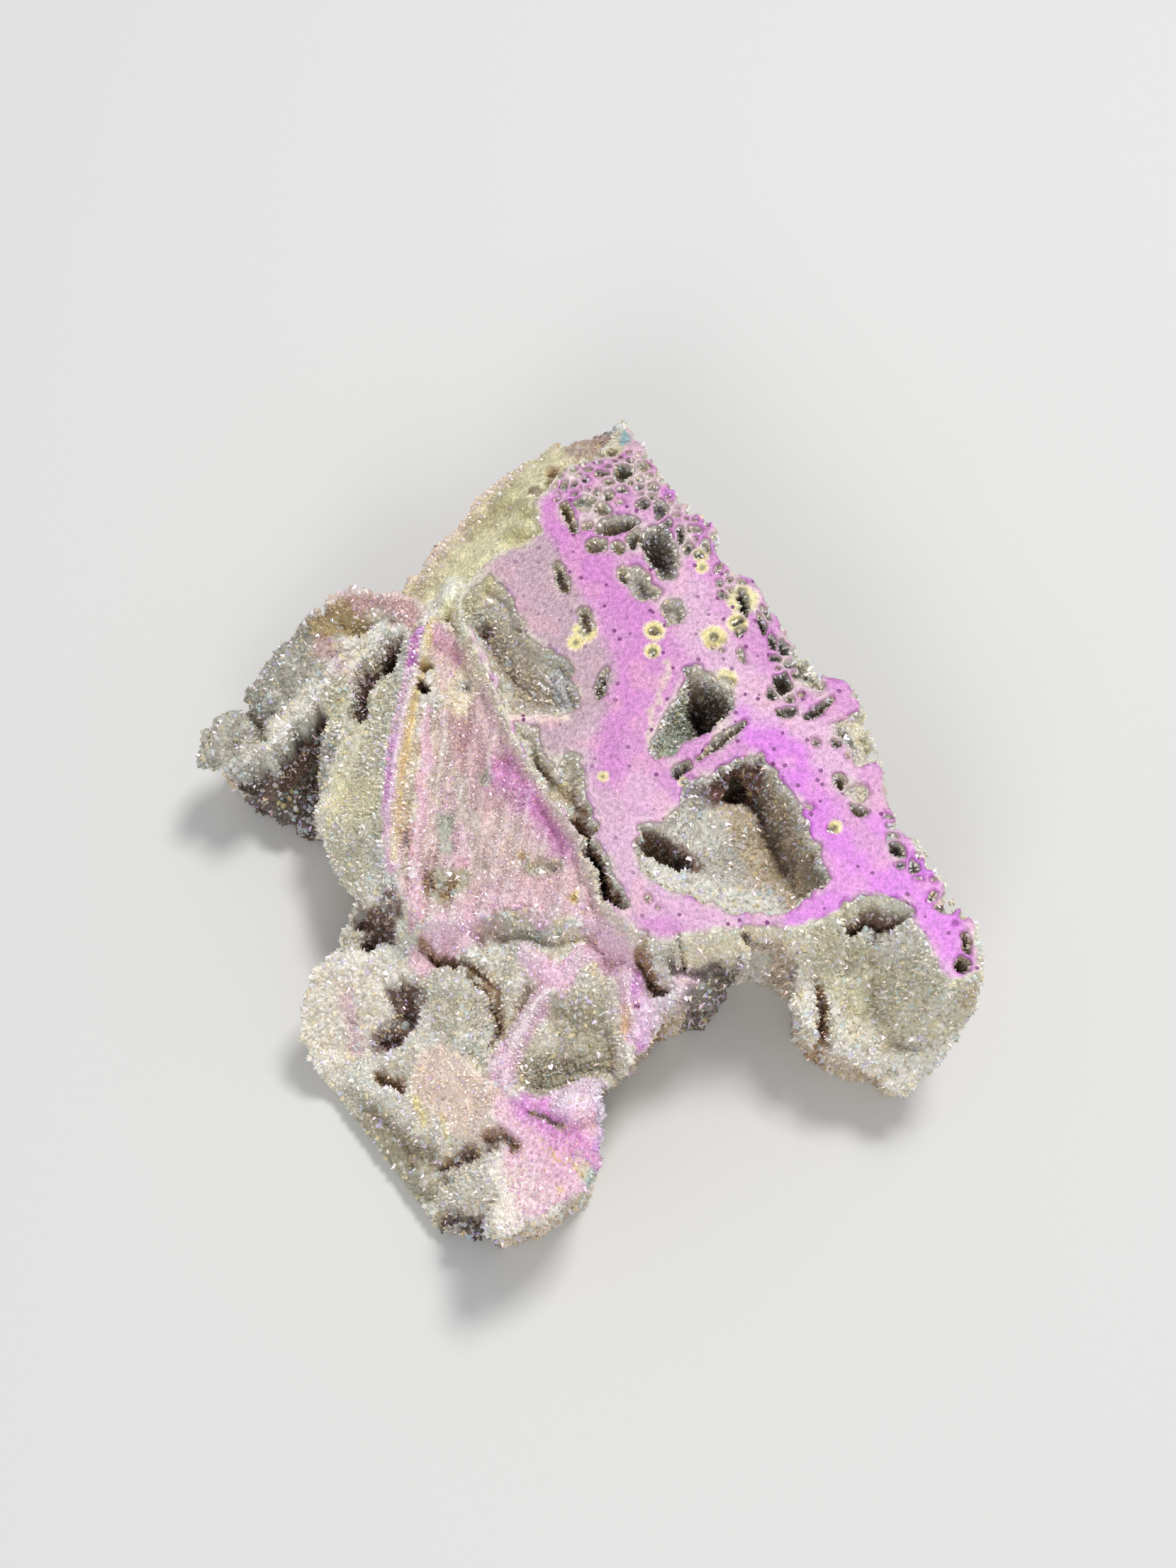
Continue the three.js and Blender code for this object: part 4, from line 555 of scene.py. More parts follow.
# Washes deep in the hollows. Many are painted shade: under the arm, in the toe cave, in the notch, in the
# heel's recess, along the great hollow's right wall and valley, under the bar, and in the north hollow.
HOLLOW_WASHES = [
    # painted shade under the arm
    ([(-26, 12), (-28, 8), (-29, 4), (-33, 5), (-36.5, 3.6)], 3, 1, "shade_cocoa", 0.95),
    ([(0.5, -21), (1.5, -24), (-1.5, -26.5)], 2.6, 1.4, "moss", 0.8),
    # painted shade in the recess under the skin's edge at the heel
    ([(27, -12.6), (29, -12.4), (30.5, -13)], 1, 0.8, "umber", 0.8),
    # painted shade in the toe cave
    (SEAMS["toe_cave"], 1.6, 0.6, "shade_cocoa", 0.95),
    # painted shade in the notch
    ([(13.3, -14), (15, -15.4), (14.8, -17.4), (12.8, -19)], 1.6, 0.8, "shade_cocoa", 0.9),
    ([(16.5, -1), (17.5, -5), (18, -9)], 2, 2, "brown", 0.15),
    # these four lines: the great hollow's right wall darker olive, its own tint and painted shade, then
    # painted umber shade along its valley and under the bar
    ([(19.8, 1.6), (21.5, -1.6), (23, -5), (23.8, -8.4)], 0.8, 0.8, "core", 0.45),
    ([(18.2, 2.6), (18.7, 0.1), (19.9, -3.4), (21, -6.4)], 0.4, 0.9, "umber", 0.5),
    ([(18, 3), (16.5, 1.6)], 0.8, 0.9, "umber", 0.8),
    ([(12, 0), (14.2, 1), (17, 2.4)], 1.4, 0.5, "umber", 1),
    ([(10.8, -1.5), (12.6, -4), (15, -7)], 2.2, 1.2, "silver", 0.8),
    ([(-9, 19), (-6.5, 15), (-2, 10.5)], 3.4, 1, "silver", 0.55),
    ([(7, -5), (9, -5.6), (11.5, -7)], 1, 0.6, "umber", 0.9),
    ([(7.4, -8), (11.3, -9.6), (15.2, -11), (19.1, -11.8)], 1.2, 0.8, "bone", 0.85),
    ([(9.3, 5), (10.8, 9)], 1, 1, "sage", 0.9),
    # painted shade in the north hollow next to the bar, this line and the next
    ([(12.8, 10.5), (14.4, 9), (15, 7.6)], 1.2, 0.8, "shade_cocoa", 0.85),
    ([(11, 5), (13, 6), (14.4, 7)], 0.8, 0.6, "shade_cocoa", 0.95),
    ([(-7, 17), (-5, 13.5), (-3, 10)], 1.6, 1.5, "brown", 0.25),
    ([(-8.9, 18.4), (-9.2, 18)], 0.5, 0.5, "umber", 0.9),
    ([(-1.5, 12), (-0.5, 9)], 0.8, 0.8, "blue_grey", 0.5),
    ([(8, 27), (9.5, 25)], 1.2, 0.8, "slate", 0.85),
    ([(9.8, 24), (9.2, 22.6)], 0.5, 0.5, "bone", 0.6),
    ([(6, 22.4), (7.5, 20.8)], 1.4, 1, "blue_grey", 0.6),
    ([(4, 28), (6, 28.6)], 1, 0.6, "slate", 0.6),
]
# Washes on the fold.
FOLD_WASHES = [
    ([(-13.2, 17), (-12, 15.5), (-10, 14)], 0.8, 1, "dusk_rose", 0.9),
    ([(-10.8, 9), (-9.5, 4), (-8.5, 0)], 1.1, 1.6, "dusk_rose", 0.5),
    ([(-12.2, 5), (-11.2, 1), (-10.2, -3), (-9.2, -7)], 0.4, 0.5, "sage", 0.35),
    ([(-12.4, -2.6), (-12, -5), (-11.2, -4.4)], 0.6, 0.6, "sage", 0.8),
    ([(-13.9, 12), (-13.4, 6), (-13.6, 0)], 0.3, 0.5, "lichen", 0.4),
    ([(-13.7, 18), (-11.4, 17.2), (-8.6, 14.5), (-7.4, 8.4), (-5.8, 4.5), (-2.9, -0.2), (1, -5.6),
      (2.5, -9)], 0.7, 0.9, "blush", 0.9),
    ([(-6.9, 2.5), (-4, -1.1), (-1.7, -3.6), (0.2, -5.5)], 0.8, 2.2, "deep_magenta", 0.6),
    ([(-11.6, 10.4), (-10.6, 12.6), (-8.8, 14.2)], 1.2, 1, "beige", 0.85),
    (SEAMS["spine_pleat"], 0.4, 0.5, "blush", 0.9),
    ([(-11, -4), (-11.4, -7.5)], 0.6, 0.6, "blush", 0.8),
    ([(-5.2, -6.8), (-5.1, -6.6)], 0.5, 0.4, "gold_brown", 0.8),
    ([(-0.2, -10.7), (-0.1, -10.6)], 0.5, 0.4, "halo", 0.7),
    ([(-8.8, 2.2), (-8.6, 2)], 0.5, 0.5, "sage", 0.8),
]
# Grey druse cells in the fold and between it and the middle: line, half width and soft edge.
GREY_CELLS = [
    ([(-14.7, 13.9), (-15.5, 8.1), (-16.2, 2.5), (-16.3, -2.6), (-16, -7.5)], 0.45, 0.4),
    ([(-14.5, 12.7), (-13.9, 10.8), (-14.4, 9.8)], 0.6, 0.5),
    (SEAMS["fold_cell"], 0.7, 0.4),
    ([(-13.6, -8.6), (-12.6, -9.8), (-11.4, -8.6)], 1, 0.5),
    ([(-9, -14.2), (-7.5, -12.8), (-5.7, -12.2), (-4.3, -13.4), (-2, -13.6), (0.4, -14)], 1.1, 0.4),
    ([(-10.9, 12.1), (-10.8, 12)], 0.5, 0.4),
]
# The frosted middle of the flat skin: line, half width and soft edge.
FROSTED_SKIN = [
    (SEAMS["middle"], 3.4, 1.6),
    (SEAMS["middle_tail"], 2.2, 1.6),
    ([(11.5, 21), (12.5, 17), (15, 13)], 1, 1.5),
]
# The matt north-west bevel, where next to no crystal stands.
MATT = ([(-13, 23.5), (-10, 26.5), (-7, 29.5), (-4.5, 33.5), (-1, 37)], 2.6, 2.2)
FROSTED_TINTS = ("candy", "orchid", "blush", "peach", "straw", "tan", "mauve_brown")
# Amber rings round pits of the skin: centre and radius of the ring.
HALOS = [
    (8, 16.3, 1), (7.8, 14.1, 0.75), (13.9, 15.6, 1.15), (16.3, 17.2, 0.95), (12.8, 24.8, 0.75),
    (12.9, 23.4, 0.6), (15, 11, 1), (1.1, 16.2, 1.1), (0.2, 15, 0.8), (16.9, 19.8, 1.4), (25.2, -4.6, 0.6),
    (2.9, 0.6, 0.5), (-0.1, -11, 0.6), (10.6, 0.1, 0.5),
]


# ---- Colours ----
def linear(text):
    """An sRGB hex colour as three linear values."""
    parts = [int(text[i : i + 2], 16) / 255 for i in (1, 3, 5)]
    return tuple(c / 12.92 if c <= 0.04045 else ((c + 0.055) / 1.055) ** 2.4 for c in parts)


# Tints of the coat and of the stone. The cocoa and gully tints are only ever painted shade, in recesses and
# under overhangs.
PALETTE = {
    "magenta": "#e07ce2", "rose_magenta": "#d987cd", "deep_magenta": "#d267c8", "orchid": "#dc86d8",
    "lilac_pink": "#e0bccd", "pale_pink": "#e6b9d6", "frosted": "#caaab5", "blush": "#ebc5d2",
    "candy": "#f3d0e1", "dusk_rose": "#c79ca6", "arm_rose": "#dcb4b2", "violet": "#bd8df2",
    "tan": "#dccfa8", "straw": "#eee8ba", "halo": "#f4e592", "apricot": "#f0cf92", "peach": "#f9e2d0",
    "cream": "#f1ead9", "bone": "#ecebe0", "beige": "#eee5ca", "lichen": "#cbc9a8", "sage": "#b3bfab",
    "teal": "#8fbcc0", "blue_grey": "#98a0a8", "gold_brown": "#b39a62", "mauve_brown": "#b8a090",
    "umber": "#6d4f42", "brown": "#a3835f", "olive": "#b5ac7c", "core": "#8c8a70",
    "lead": "#a09f92", "slate": "#6f716c", "gully_shade": "#a59a80", "shade_cocoa": "#473f34", "moss": "#b4ae95",
    "pale_lilac": "#f4dfec", "fold_pink": "#dfc4c4", "khaki_brown": "#b7a483", "silver": "#cfcfc6",
    "peach_pink": "#efb4c6", "rim": "#e6e4c8", "pore": "#8a2f86",
}
TINTS = {name: np.array(linear(text)) for name, text in PALETTE.items()}


# ---- Small helpers, on numpy arrays ----
def lattice(i, j, k):
    """A value from 0 to 1 that looks random, fixed for each whole place."""
    s = np.sin(i * 127.1 + j * 311.7 + k * 74.7) * 43758.5453
    return s - np.floor(s)


def noise(x, y, z):
    """Smooth noise from -1 to 1, with features one unit across."""
    x, y, z = np.broadcast_arrays(x, y, z)
    corner = [np.floor(c) for c in (x, y, z)]
    u, v, w = (t * t * (3 - 2 * t) for t in (x - corner[0], y - corner[1], z - corner[2]))
    total = 0
    for a in (0, 1):
        for b in (0, 1):
            for c in (0, 1):
                weight = (u if a else 1 - u) * (v if b else 1 - v) * (w if c else 1 - w)
                total = total + weight * lattice(corner[0] + a, corner[1] + b, corner[2] + c)
    return 2 * total - 1


def bumps(x, y, size, seed):
    """Noise over the plan, with features of that size in mm."""
    return noise(x / size, y / size, seed)


def ramp(value, start, end):
    """0 at start, 1 at end, and smooth between."""
    t = np.clip((value - start) / (end - start), 0, 1)
    return t * t * (3 - 2 * t)


def soft_max(a, b, soft=SOFT):
    """The greater of two heights, rounded where they meet."""
    near = np.maximum(0, 1 - np.abs(a - b) / soft)
    return np.maximum(a, b) + 0.25 * soft * near * near


def nearest(line, x, y):
    """Distance to a broken line, and the height carried along it."""
    distance = np.full(np.shape(x), np.inf)
    height = np.zeros(np.shape(x))
    for a, b in zip(line, line[1:] if len(line) > 1 else line):
        dx, dy = b[0] - a[0], b[1] - a[1]
        t = np.clip(((x - a[0]) * dx + (y - a[1]) * dy) / (dx * dx + dy * dy or 1), 0, 1)
        here = np.hypot(x - a[0] - t * dx, y - a[1] - t * dy)
        closer = here < distance
        distance = np.where(closer, here, distance)
        if len(a) > 2:
            height = np.where(closer, a[2] + t * (b[2] - a[2]), height)
    return distance, height


def inside_by(plan, x, y):
    """Distance to a closed plan, positive inside."""
    edge = nearest(plan + plan[:1], x, y)[0]
    inside = np.zeros(np.shape(x), bool)
    for a, b in zip(plan, plan[1:] + plan[:1]):
        if a[1] != b[1]:
            crossed = (a[1] > y) != (b[1] > y)
            inside ^= crossed & (x < (b[0] - a[0]) * (y - a[1]) / (b[1] - a[1]) + a[0])
    return np.where(inside, edge, -edge)


def warped(x, y, amount, size, seed):
    """A place pushed about a little, so that edges come out ragged."""
    return x + amount * bumps(x, y, size, seed), y + amount * bumps(x, y, size, seed + 9)


SMALL_CELLS = small_cells()


# ---- Relief ----
def ridge_height(ridge, x, y):
    """Height of a ridge: domed over its half width, and falling beyond it."""
    crest, half, dome, fall = ridge
    distance, z = nearest(crest, x, y)
    across = np.minimum(1, distance / half)
    return z - dome * across * across - fall * np.maximum(0, distance - half)


def plate_height(plan, top, fall, x, y):
    """Height of a plate over its plan, falling beyond it."""
    return top - fall * np.maximum(0, -inside_by(plan, x, y))


def fold_top(x, y):
    """The draped fold: it falls to the spine in soft pleats that run down it."""
    to_spine = np.clip(inside_by(FACE, x, y) / -FOLD_WIDTH, 0, 1)
    pleats = sum(height * np.sin(x * across - y * along) for height, across, along in PLEATS)
    return FOLD_Z - FOLD_DROP * to_spine + pleats


def bevel_top(y):
    """Height of the flat skin, which dips towards the north tip."""
    return FACE_Z - TOP_INSET - TIP_DIP * np.maximum(0, y - TIP_Y)


def relief(x, y):
    """Height of the stone without its hollows."""
    z = np.full(np.shape(x), LOWEST_TOP)
    for ridge in RIDGES.values():
        z = soft_max(z, ridge_height(ridge, x, y))
    z = soft_max(z, plate_height(FOLD, fold_top(x, y), FALLS["fold"], x, y))
    wx, wy = warped(x, y, 0.3, 1.2, 77)
    for line, half, rise in WELTS:
        share = np.clip(1 - (nearest(line, wx, wy)[0] / (WELT_REACH * half)) ** 2, 0, 1)
        z = z + WELT_GAIN * rise * share * share
    z = np.minimum(z, 1 + SAWN_SLOPE * nearest(SAWN_EDGE, x, y)[0])
    lumpy = 1 - 0.55 * ramp(inside_by(FOLD, x, y), -0.5, 0.5)  # the fold is smoother than the rest
    lumps = 1.2 * np.abs(bumps(x, y, 2.6, 7)) - 0.4 + 0.4 * bumps(x, y, 1.2, 17)
    z = z + lumpy * lumps
    fx, fy = warped(x, y, 0.25, 0.9, 3)
    z = soft_max(z, plate_height(FACE, FACE_Z - TOP_INSET, FALLS["face"], fx, fy), SKIN_SOFT)
    z = soft_max(z, plate_height(PATCH, PATCH_Z, FALLS["patch"], fx, fy), SKIN_SOFT)
    return np.maximum(LOWEST_EDGE, np.minimum(z, bevel_top(y)))


def hollow_floor(hollow, x, y):
    """Floor of a hollow: a step down at the rim, and then a slope to the valley with lumps on it."""
    rim, valley, top, step, depth, fill = hollow
    to_rim = np.maximum(0, inside_by(rim, x, y))
    to_valley = nearest(valley, x, y)[0]
    share = (to_rim / (to_rim + to_valley + 0.01)) ** 0.8
    z = top - step * ramp(to_rim, 0, 0.5) - (depth - step) * share + 0.3 * bumps(x, y, 1.6, 3)
    for ridge in fill:
        z = soft_max(z, ridge_height(ridge, x, y))
    return np.maximum(FLOOR_MIN, z)


def pit_depth(x, y):
    """How far the pits go down. Pits that crowd grow until they share thin walls."""
    x, y = warped(x, y, 0.15, 0.6, 45)
    ragged = 0.22 * noise(x * 1.3, y * 1.3, 23)
    first = np.full(np.shape(x), 9.0)
    second = first.copy()
    depth = np.zeros(np.shape(x))
    for cx, cy, rx, ry, degrees, deep in PITS + FINE_PITS + SMALL_CELLS:
        turn = math.radians(degrees)
        along = (x - cx) * math.cos(turn) + (y - cy) * math.sin(turn)
        across = (y - cy) * math.cos(turn) - (x - cx) * math.sin(turn)
        edge = (np.hypot(along / rx, across / ry) - 1) * math.sqrt(rx * ry) + ragged
        closer = edge < first
        second = np.where(closer, first, np.minimum(second, edge))
        depth = np.where(closer, deep, depth)
        first = np.minimum(first, edge)
    grown = 0.12 + 0.3 * ramp(second, 1.3, 0.3)  # how far a pit grows, more where the next is near
    wall = ramp(second - first, 0.2, 0.6)  # 0 on the wall that two pits share
    return depth * wall * np.clip((grown - first) / 0.35, 0, 1) ** 0.7


def surface(x, y):
    """Height of the whole stone from above, hollows, clefts and pits included."""
    z = relief(x, y)
    rx, ry = warped(x, y, 0.35, 1.1, 41)
    rx, ry = warped(rx, ry, 0.18, 0.5, 43)
    for name, hollow in HOLLOWS.items():
        inside = inside_by(hollow[0], rx, ry)
        crust = CRUST if name in CRUSTED else 0
        floor = hollow_floor(hollow, rx, ry) + crust * ramp(inside, 0.2, 1.2)
        z = np.where(inside > 0, np.minimum(z, floor), z)
    wander = 1.05 + 0.35 * bumps(x, y, 1.4, 63)  # clefts widen and narrow
    for line, half, depth in CLEFTS.values():
        distance = nearest(line, rx, ry)[0]
        z = z - depth * np.clip(1 - (distance / (half * wander)) ** 2, 0, 1)
    return np.maximum(FLOOR_MIN, z - pit_depth(x, y))


# ---- Solid shape ----
FAR = 3.0  # distances from the surface are kept up to this


def lump_field(place, x, y, z):
    """How far each point lies outside a rounded lump."""
    (cx, cy, cz), (rx, ry, rz) = place
    reach = np.sqrt(((x - cx) / rx) ** 2 + ((y - cy) / ry) ** 2 + ((z - cz) / rz) ** 2)
    return (reach - 1) * min(rx, ry, rz)


def stone_field(axes, floor, ceiling):
    """How far each point of a grid lies outside the stone between two levels, roughly in millimetres."""
    x, y = np.meshgrid(axes[0], axes[1], indexing="ij")
    height = surface(x, y)
    slope = np.hypot(*np.gradient(height, axes[0][1] - axes[0][0]))
    lean = 1 / np.sqrt(1 + np.minimum(slope, 3) ** 2)
    level = relief(x, y)
    broken = ramp(nearest(SAWN_EDGE, x, y)[0], 0.3, 2.5)
    ox, oy = warped(x, y, 0.5 * broken, 1.1, 61)
    edge = inside_by(OUTLINE, ox, oy)
    rough = WALL_ROUGH * broken
    x3, y3, z3 = x[:, :, None], y[:, :, None], axes[2][None, None, :]
    rise = np.clip(z3 / level[:, :, None], 0, 1)
    lumps = 0.65 * noise(x3 / 2.6, y3 / 2.6, z3 / 3.4) + 0.35 * noise(x3 / 1.2, y3 / 1.2, z3 / 1.4)
    setback = SIDE_INSET + UNDERCUT * (1 - rise**2) * broken[:, :, None]
    side = setback + rough[:, :, None] * (0.6 + lumps) * (1 - 0.75 * rise**6) - edge[:, :, None]
    field = soft_max((z3 - height[:, :, None]) * lean[:, :, None], side, SKIN_SOFT)
    for place in UNDERCUTS.values():
        field = np.maximum(field, -lump_field(place, x3, y3, z3) - 0.3 * lumps)
    return np.maximum(field, np.maximum(floor - z3, z3 - ceiling))


def main_shells(points, triangles, least):
    """The triangles of the connected shells that have at least so many, so that no crumb is left."""
    label = np.arange(len(points))
    edges = np.concatenate([triangles[:, [0, 1]], triangles[:, [1, 2]]])
    while True:
        low = np.minimum(label[edges[:, 0]], label[edges[:, 1]])
        before = label.copy()
        np.minimum.at(label, edges[:, 0], low)
        np.minimum.at(label, edges[:, 1], low)
        label = label[label]
        if np.array_equal(label, before):
            break
    shell = label[triangles[:, 0]]
    return triangles[np.bincount(shell)[shell] >= least]


def stone_shell(step, floor, ceiling, least):
    """Points (mm) and triangles of the stone between two levels, left open where a level cuts it."""
    low = (LOW[0], LOW[1], floor)
    high = (HIGH[0], HIGH[1], min(ceiling, HIGH[2]))
    axes = [np.arange(low[i] - 2 * step, high[i] + 2 * step, step) for i in range(3)]
    field = stone_field(axes, floor, ceiling)
    grid = openvdb.FloatGrid(background=FAR)
    grid.copyFromArray(np.clip(field, -FAR, FAR).astype(np.float32))
    points, triangles, quads = grid.convertToPolygons(isovalue=0.0, adaptivity=0.0)
    points = points * step + np.array([a[0] for a in axes])
    triangles = np.concatenate([triangles, quads[:, [0, 1, 2]], quads[:, [0, 2, 3]]]).astype(np.int64)
    a, b, c = (points[triangles[:, i]] for i in range(3))
    if np.einsum("ij,ij->i", a, np.cross(b, c)).sum() < 0:
        triangles = triangles[:, ::-1]
    triangles = main_shells(points, triangles, least)
    near = 0.3 * step
    for level in (floor, ceiling):
        at_cut = (np.abs(points[:, 2] - level) < near) & (level > 0)
        triangles = triangles[~at_cut[triangles].all(1)]
    used, flat = np.unique(triangles, return_inverse=True)
    points, triangles = points[used], flat.reshape(-1, 3)
    points[:, 2] = np.where(points[:, 2] < near, 0, points[:, 2])
    return points, triangles


# ---- Meshes ----
def add_mesh(name, points, triangles, material, smooth):
    """A new mesh object from points in millimetres."""
    mesh = bpy.data.meshes.new(name)
    mesh.vertices.add(len(points))
    mesh.vertices.foreach_set("co", (points * MM).astype(np.float32).ravel())
    mesh.loops.add(3 * len(triangles))
    mesh.loops.foreach_set("vertex_index", triangles.astype(np.int32).ravel())
    mesh.polygons.add(len(triangles))
    mesh.polygons.foreach_set("loop_start", np.arange(0, 3 * len(triangles), 3, dtype=np.int32))
    mesh.polygons.foreach_set("use_smooth", np.full(len(triangles), smooth))
    mesh.update(calc_edges=True)
    mesh.validate()
    mesh.materials.append(material)
    piece = bpy.data.objects.new(name, mesh)
    bpy.context.scene.collection.objects.link(piece)
    return piece


def read_mesh(piece):
    """Points (mm), normals and triangles of a mesh object."""
    mesh = piece.data
    points = np.empty(3 * len(mesh.vertices), np.float32)
    mesh.vertices.foreach_get("co", points)
    normals = np.empty(3 * len(mesh.vertices), np.float32)
    mesh.vertices.foreach_get("normal", normals)
    mesh.calc_loop_triangles()
    triangles = np.empty(3 * len(mesh.loop_triangles), np.int32)
    mesh.loop_triangles.foreach_get("vertices", triangles)
    return points.reshape(-1, 3) / MM, normals.reshape(-1, 3), triangles.reshape(-1, 3)


def joined(first, second):
    """Two surfaces as one: points, normals and triangles."""
    return (
        np.concatenate([first[0], second[0]]),
        np.concatenate([first[1], second[1]]),
        np.concatenate([first[2], second[2] + len(first[0])]),
    )


def set_tint(piece, domain, colours):
    """Stores the colour of each point or face, for the material."""
    attribute = piece.data.attributes.new("tint", "FLOAT_COLOR", domain)
    rgba = np.ones((len(colours), 4), np.float32)
    rgba[:, :3] = np.clip(colours, 0, 1)
    attribute.data.foreach_set("color", rgba.ravel())


def set_skin(piece, values):
    """Stores how much of the skin's finish each point has, for the material."""
    attribute = piece.data.attributes.new("skin", "FLOAT", "POINT")
    attribute.data.foreach_set("value", np.clip(values, 0, 1).astype(np.float32))


def thinned(piece, loose, triangles_left):
    """Leaves fewer triangles, taken from the loose places first."""
    group = piece.vertex_groups.new(name="thin")
    group.add(np.nonzero(loose)[0].tolist(), 1.0, "REPLACE")
    modifier = piece.modifiers.new("thin", "DECIMATE")
    modifier.ratio = triangles_left / len(piece.data.polygons)
    modifier.vertex_group = "thin"
    modifier.vertex_group_factor = 50.0
    graph = bpy.context.evaluated_depsgraph_get()
    mesh = bpy.data.meshes.new_from_object(piece.evaluated_get(graph))
    piece.modifiers.clear()
    piece.vertex_groups.clear()
    old = piece.data
    piece.data = mesh
    bpy.data.meshes.remove(old)
    mesh.name = piece.name


# ---- Finish of the surface, with its painted shade and highlights, worked out from the place ----
def blurred(grid, count):
    """A grid smoothed twice by a box of 2 * count + 1 cells."""
    for axis in (0, 1, 0, 1):
        pad = [(count + 1, count) if a == axis else (0, 0) for a in (0, 1)]
        total = np.cumsum(np.pad(grid, pad, mode="edge"), axis=axis)
        width = 2 * count + 1
        upper = np.take(total, range(width, total.shape[axis]), axis=axis)
        lower = np.take(total, range(0, total.shape[axis] - width), axis=axis)
        grid = (upper - lower) / width
    return grid


SURVEY_STEP = 0.25  # mm between the surveyed places
SURVEY_MARGIN = 3  # mm surveyed round the stone
TABLE_LEVEL = 6  # level (mm) that is taken outside the stone


@functools.cache
def survey():
    """Grids over the stone: its level without hollows, how far it stands out, and how much is skin."""
    xs, ys = (np.arange(LOW[i] - SURVEY_MARGIN, HIGH[i] + SURVEY_MARGIN, SURVEY_STEP) for i in (0, 1))
    gx, gy = np.meshgrid(xs, ys, indexing="ij")
    height = surface(gx, gy)
    level = np.where(inside_by(OUTLINE, gx, gy) < 0, TABLE_LEVEL, np.minimum(relief(gx, gy), height + 9))
    skin = at_skin_height(gy, height)
    return {
        "origin": (xs[0], ys[0]),
        "level": blurred(level, 6),
        "proud": height - blurred(height, 3),
        "near_skin": blurred(skin * (inside_by(FACE, gx, gy) > 0), 3),
    }


def at_skin_height(y, z):
    """1 at the height of the flat skin, 0 below it."""
    return ramp(z, bevel_top(y) - 0.6, bevel_top(y) - 0.25)


def surveyed(name, x, y):
    """A surveyed value at each place, read between the grid's four nearest places."""
    grids = survey()
    grid = grids[name]
    u = np.clip((x - grids["origin"][0]) / SURVEY_STEP, 0, grid.shape[0] - 1.001)
    v = np.clip((y - grids["origin"][1]) / SURVEY_STEP, 0, grid.shape[1] - 1.001)
    i, j = u.astype(int), v.astype(int)
    a, b = u - i, v - j
    near = grid[i, j] * (1 - b) + grid[i, j + 1] * b
    far = grid[i + 1, j] * (1 - b) + grid[i + 1, j + 1] * b
    return near * (1 - a) + far * a


def skin_share(x, y, z):
    """1 on the flat coated skin, 0 on druse."""
    wx, wy = warped(x, y, 0.3, 0.7, 5)
    return ramp(inside_by(FACE, wx, wy), -0.1, 0.35) * at_skin_height(y, z)


def near_line(line, half, soft, x, y):
    """1 within the half width of a line, fading over the soft edge."""
    return 1 - ramp(nearest(line, x, y)[0], half - 0.3 * soft, half + soft)


def sugary_share(x, y):
    """1 where the flat skin is frosted by fine grains: the middle of the slab."""
    wx, wy = warped(x, y, 0.8, 1.5, 25)
    return functools.reduce(np.maximum, (near_line(*line, wx, wy) for line in FROSTED_SKIN))


def over(plan, edge, rise, x, y, z):
    """1 over a plan and above a height: distance inside and height between which it sets in."""
    return ramp(inside_by(plan, x, y), *edge) * ramp(z, *rise)


def cell_share(x, y):
    """1 in the grey druse cells of the fold."""
    return functools.reduce(np.maximum, (near_line(*cell, x, y) for cell in GREY_CELLS))


def frost_share(x, y, z):
    """1 where the broken stone has fine frost instead of druse: the fold, the patch and the pink bands."""
    wx, wy = warped(x, y, 0.4, 0.9, 15)
    fold = over(FOLD, (-0.2, 0.6), FOLD_RISE, wx, wy, z)
    patch = over(PATCH, (-0.2, 0.4), (PATCH_Z - 1.5, PATCH_Z - 0.7), wx, wy, z)
    share = np.maximum(fold, patch)
    for line, half, soft, name, _ in STONE_WASHES:
        if name in FROSTED_TINTS:
            share = np.maximum(share, 0.9 * near_line(line, half, 0.6 * soft, wx, wy))
    share = share * (1 - cell_share(wx, wy))
    spine = nearest(RIDGES["spine"][0], wx, wy)[0]
    return np.maximum(share, (1 - ramp(spine, 0.6, 1)) * ramp(z, *SPINE_RISE))


def growth(x, y):
    """1 where crystals grow freely, and little on the matt bevel."""
    wx, wy = warped(x, y, 0.6, 1.4, 85)
    return 1 - 0.92 * near_line(*MATT, wx, wy)


def mix(colour, share, other):
    """A share of another colour at each place."""
    return colour + share[:, None] * (other - colour)


def washed(colour, washes, share, x, y):
    """The colour under a list of washes, each as strong as the share lets it be."""
    for line, half, soft, name, strength in washes:
        colour = mix(colour, strength * share * near_line(line, half, soft, x, y), TINTS[name])
    return colour


def druse_colour(x, y, z, look):
    """Grey beige crystals, paler and greyer in patches, khaki deeper in the hollows (own tint and painted
    shade), slate painted shade in the skin's small cells, and the hollows' washes.
    """
    given = (look.druse, look.pale_druse, look.grey_druse, look.khaki)
    druse, pale, grey, khaki = (np.array(tint) for tint in given)
    broad = noise(x / 4.5, y / 4.5, z / 4.5) + 0.5 * noise(x / 1.7, y / 1.7, z / 1.7)
    colour = mix(druse + np.zeros((len(x), 3)), np.clip(1.3 * broad, 0, 1), pale)
    colour = mix(colour, np.clip(-1.3 * broad, 0, 1), grey)
    depth = surveyed("level", x, y) - z
    # khaki deeper down in the hollows: the druse's own tint there, and painted shade
    colour = mix(colour, 0.65 * ramp(depth, 1, 6), khaki)
    in_cell = ramp(depth, 0.3, 0.9) * ramp(depth, 4.5, 3)
    pitted = in_cell * ramp(inside_by(OUTLINE, x, y), 1, 1.5)  # not on the side wall
    # slate inside the small cells of the skin, by their depth: painted shade
    for line, reach, _ in CELL_BELTS:
        colour = mix(colour, 0.7 * pitted * near_line(line, reach, 0.8, x, y), TINTS["slate"])
    # the washes of the hollows, many of them painted shade
    return washed(colour, HOLLOW_WASHES, ramp(depth, 1, 2.5), x, y)


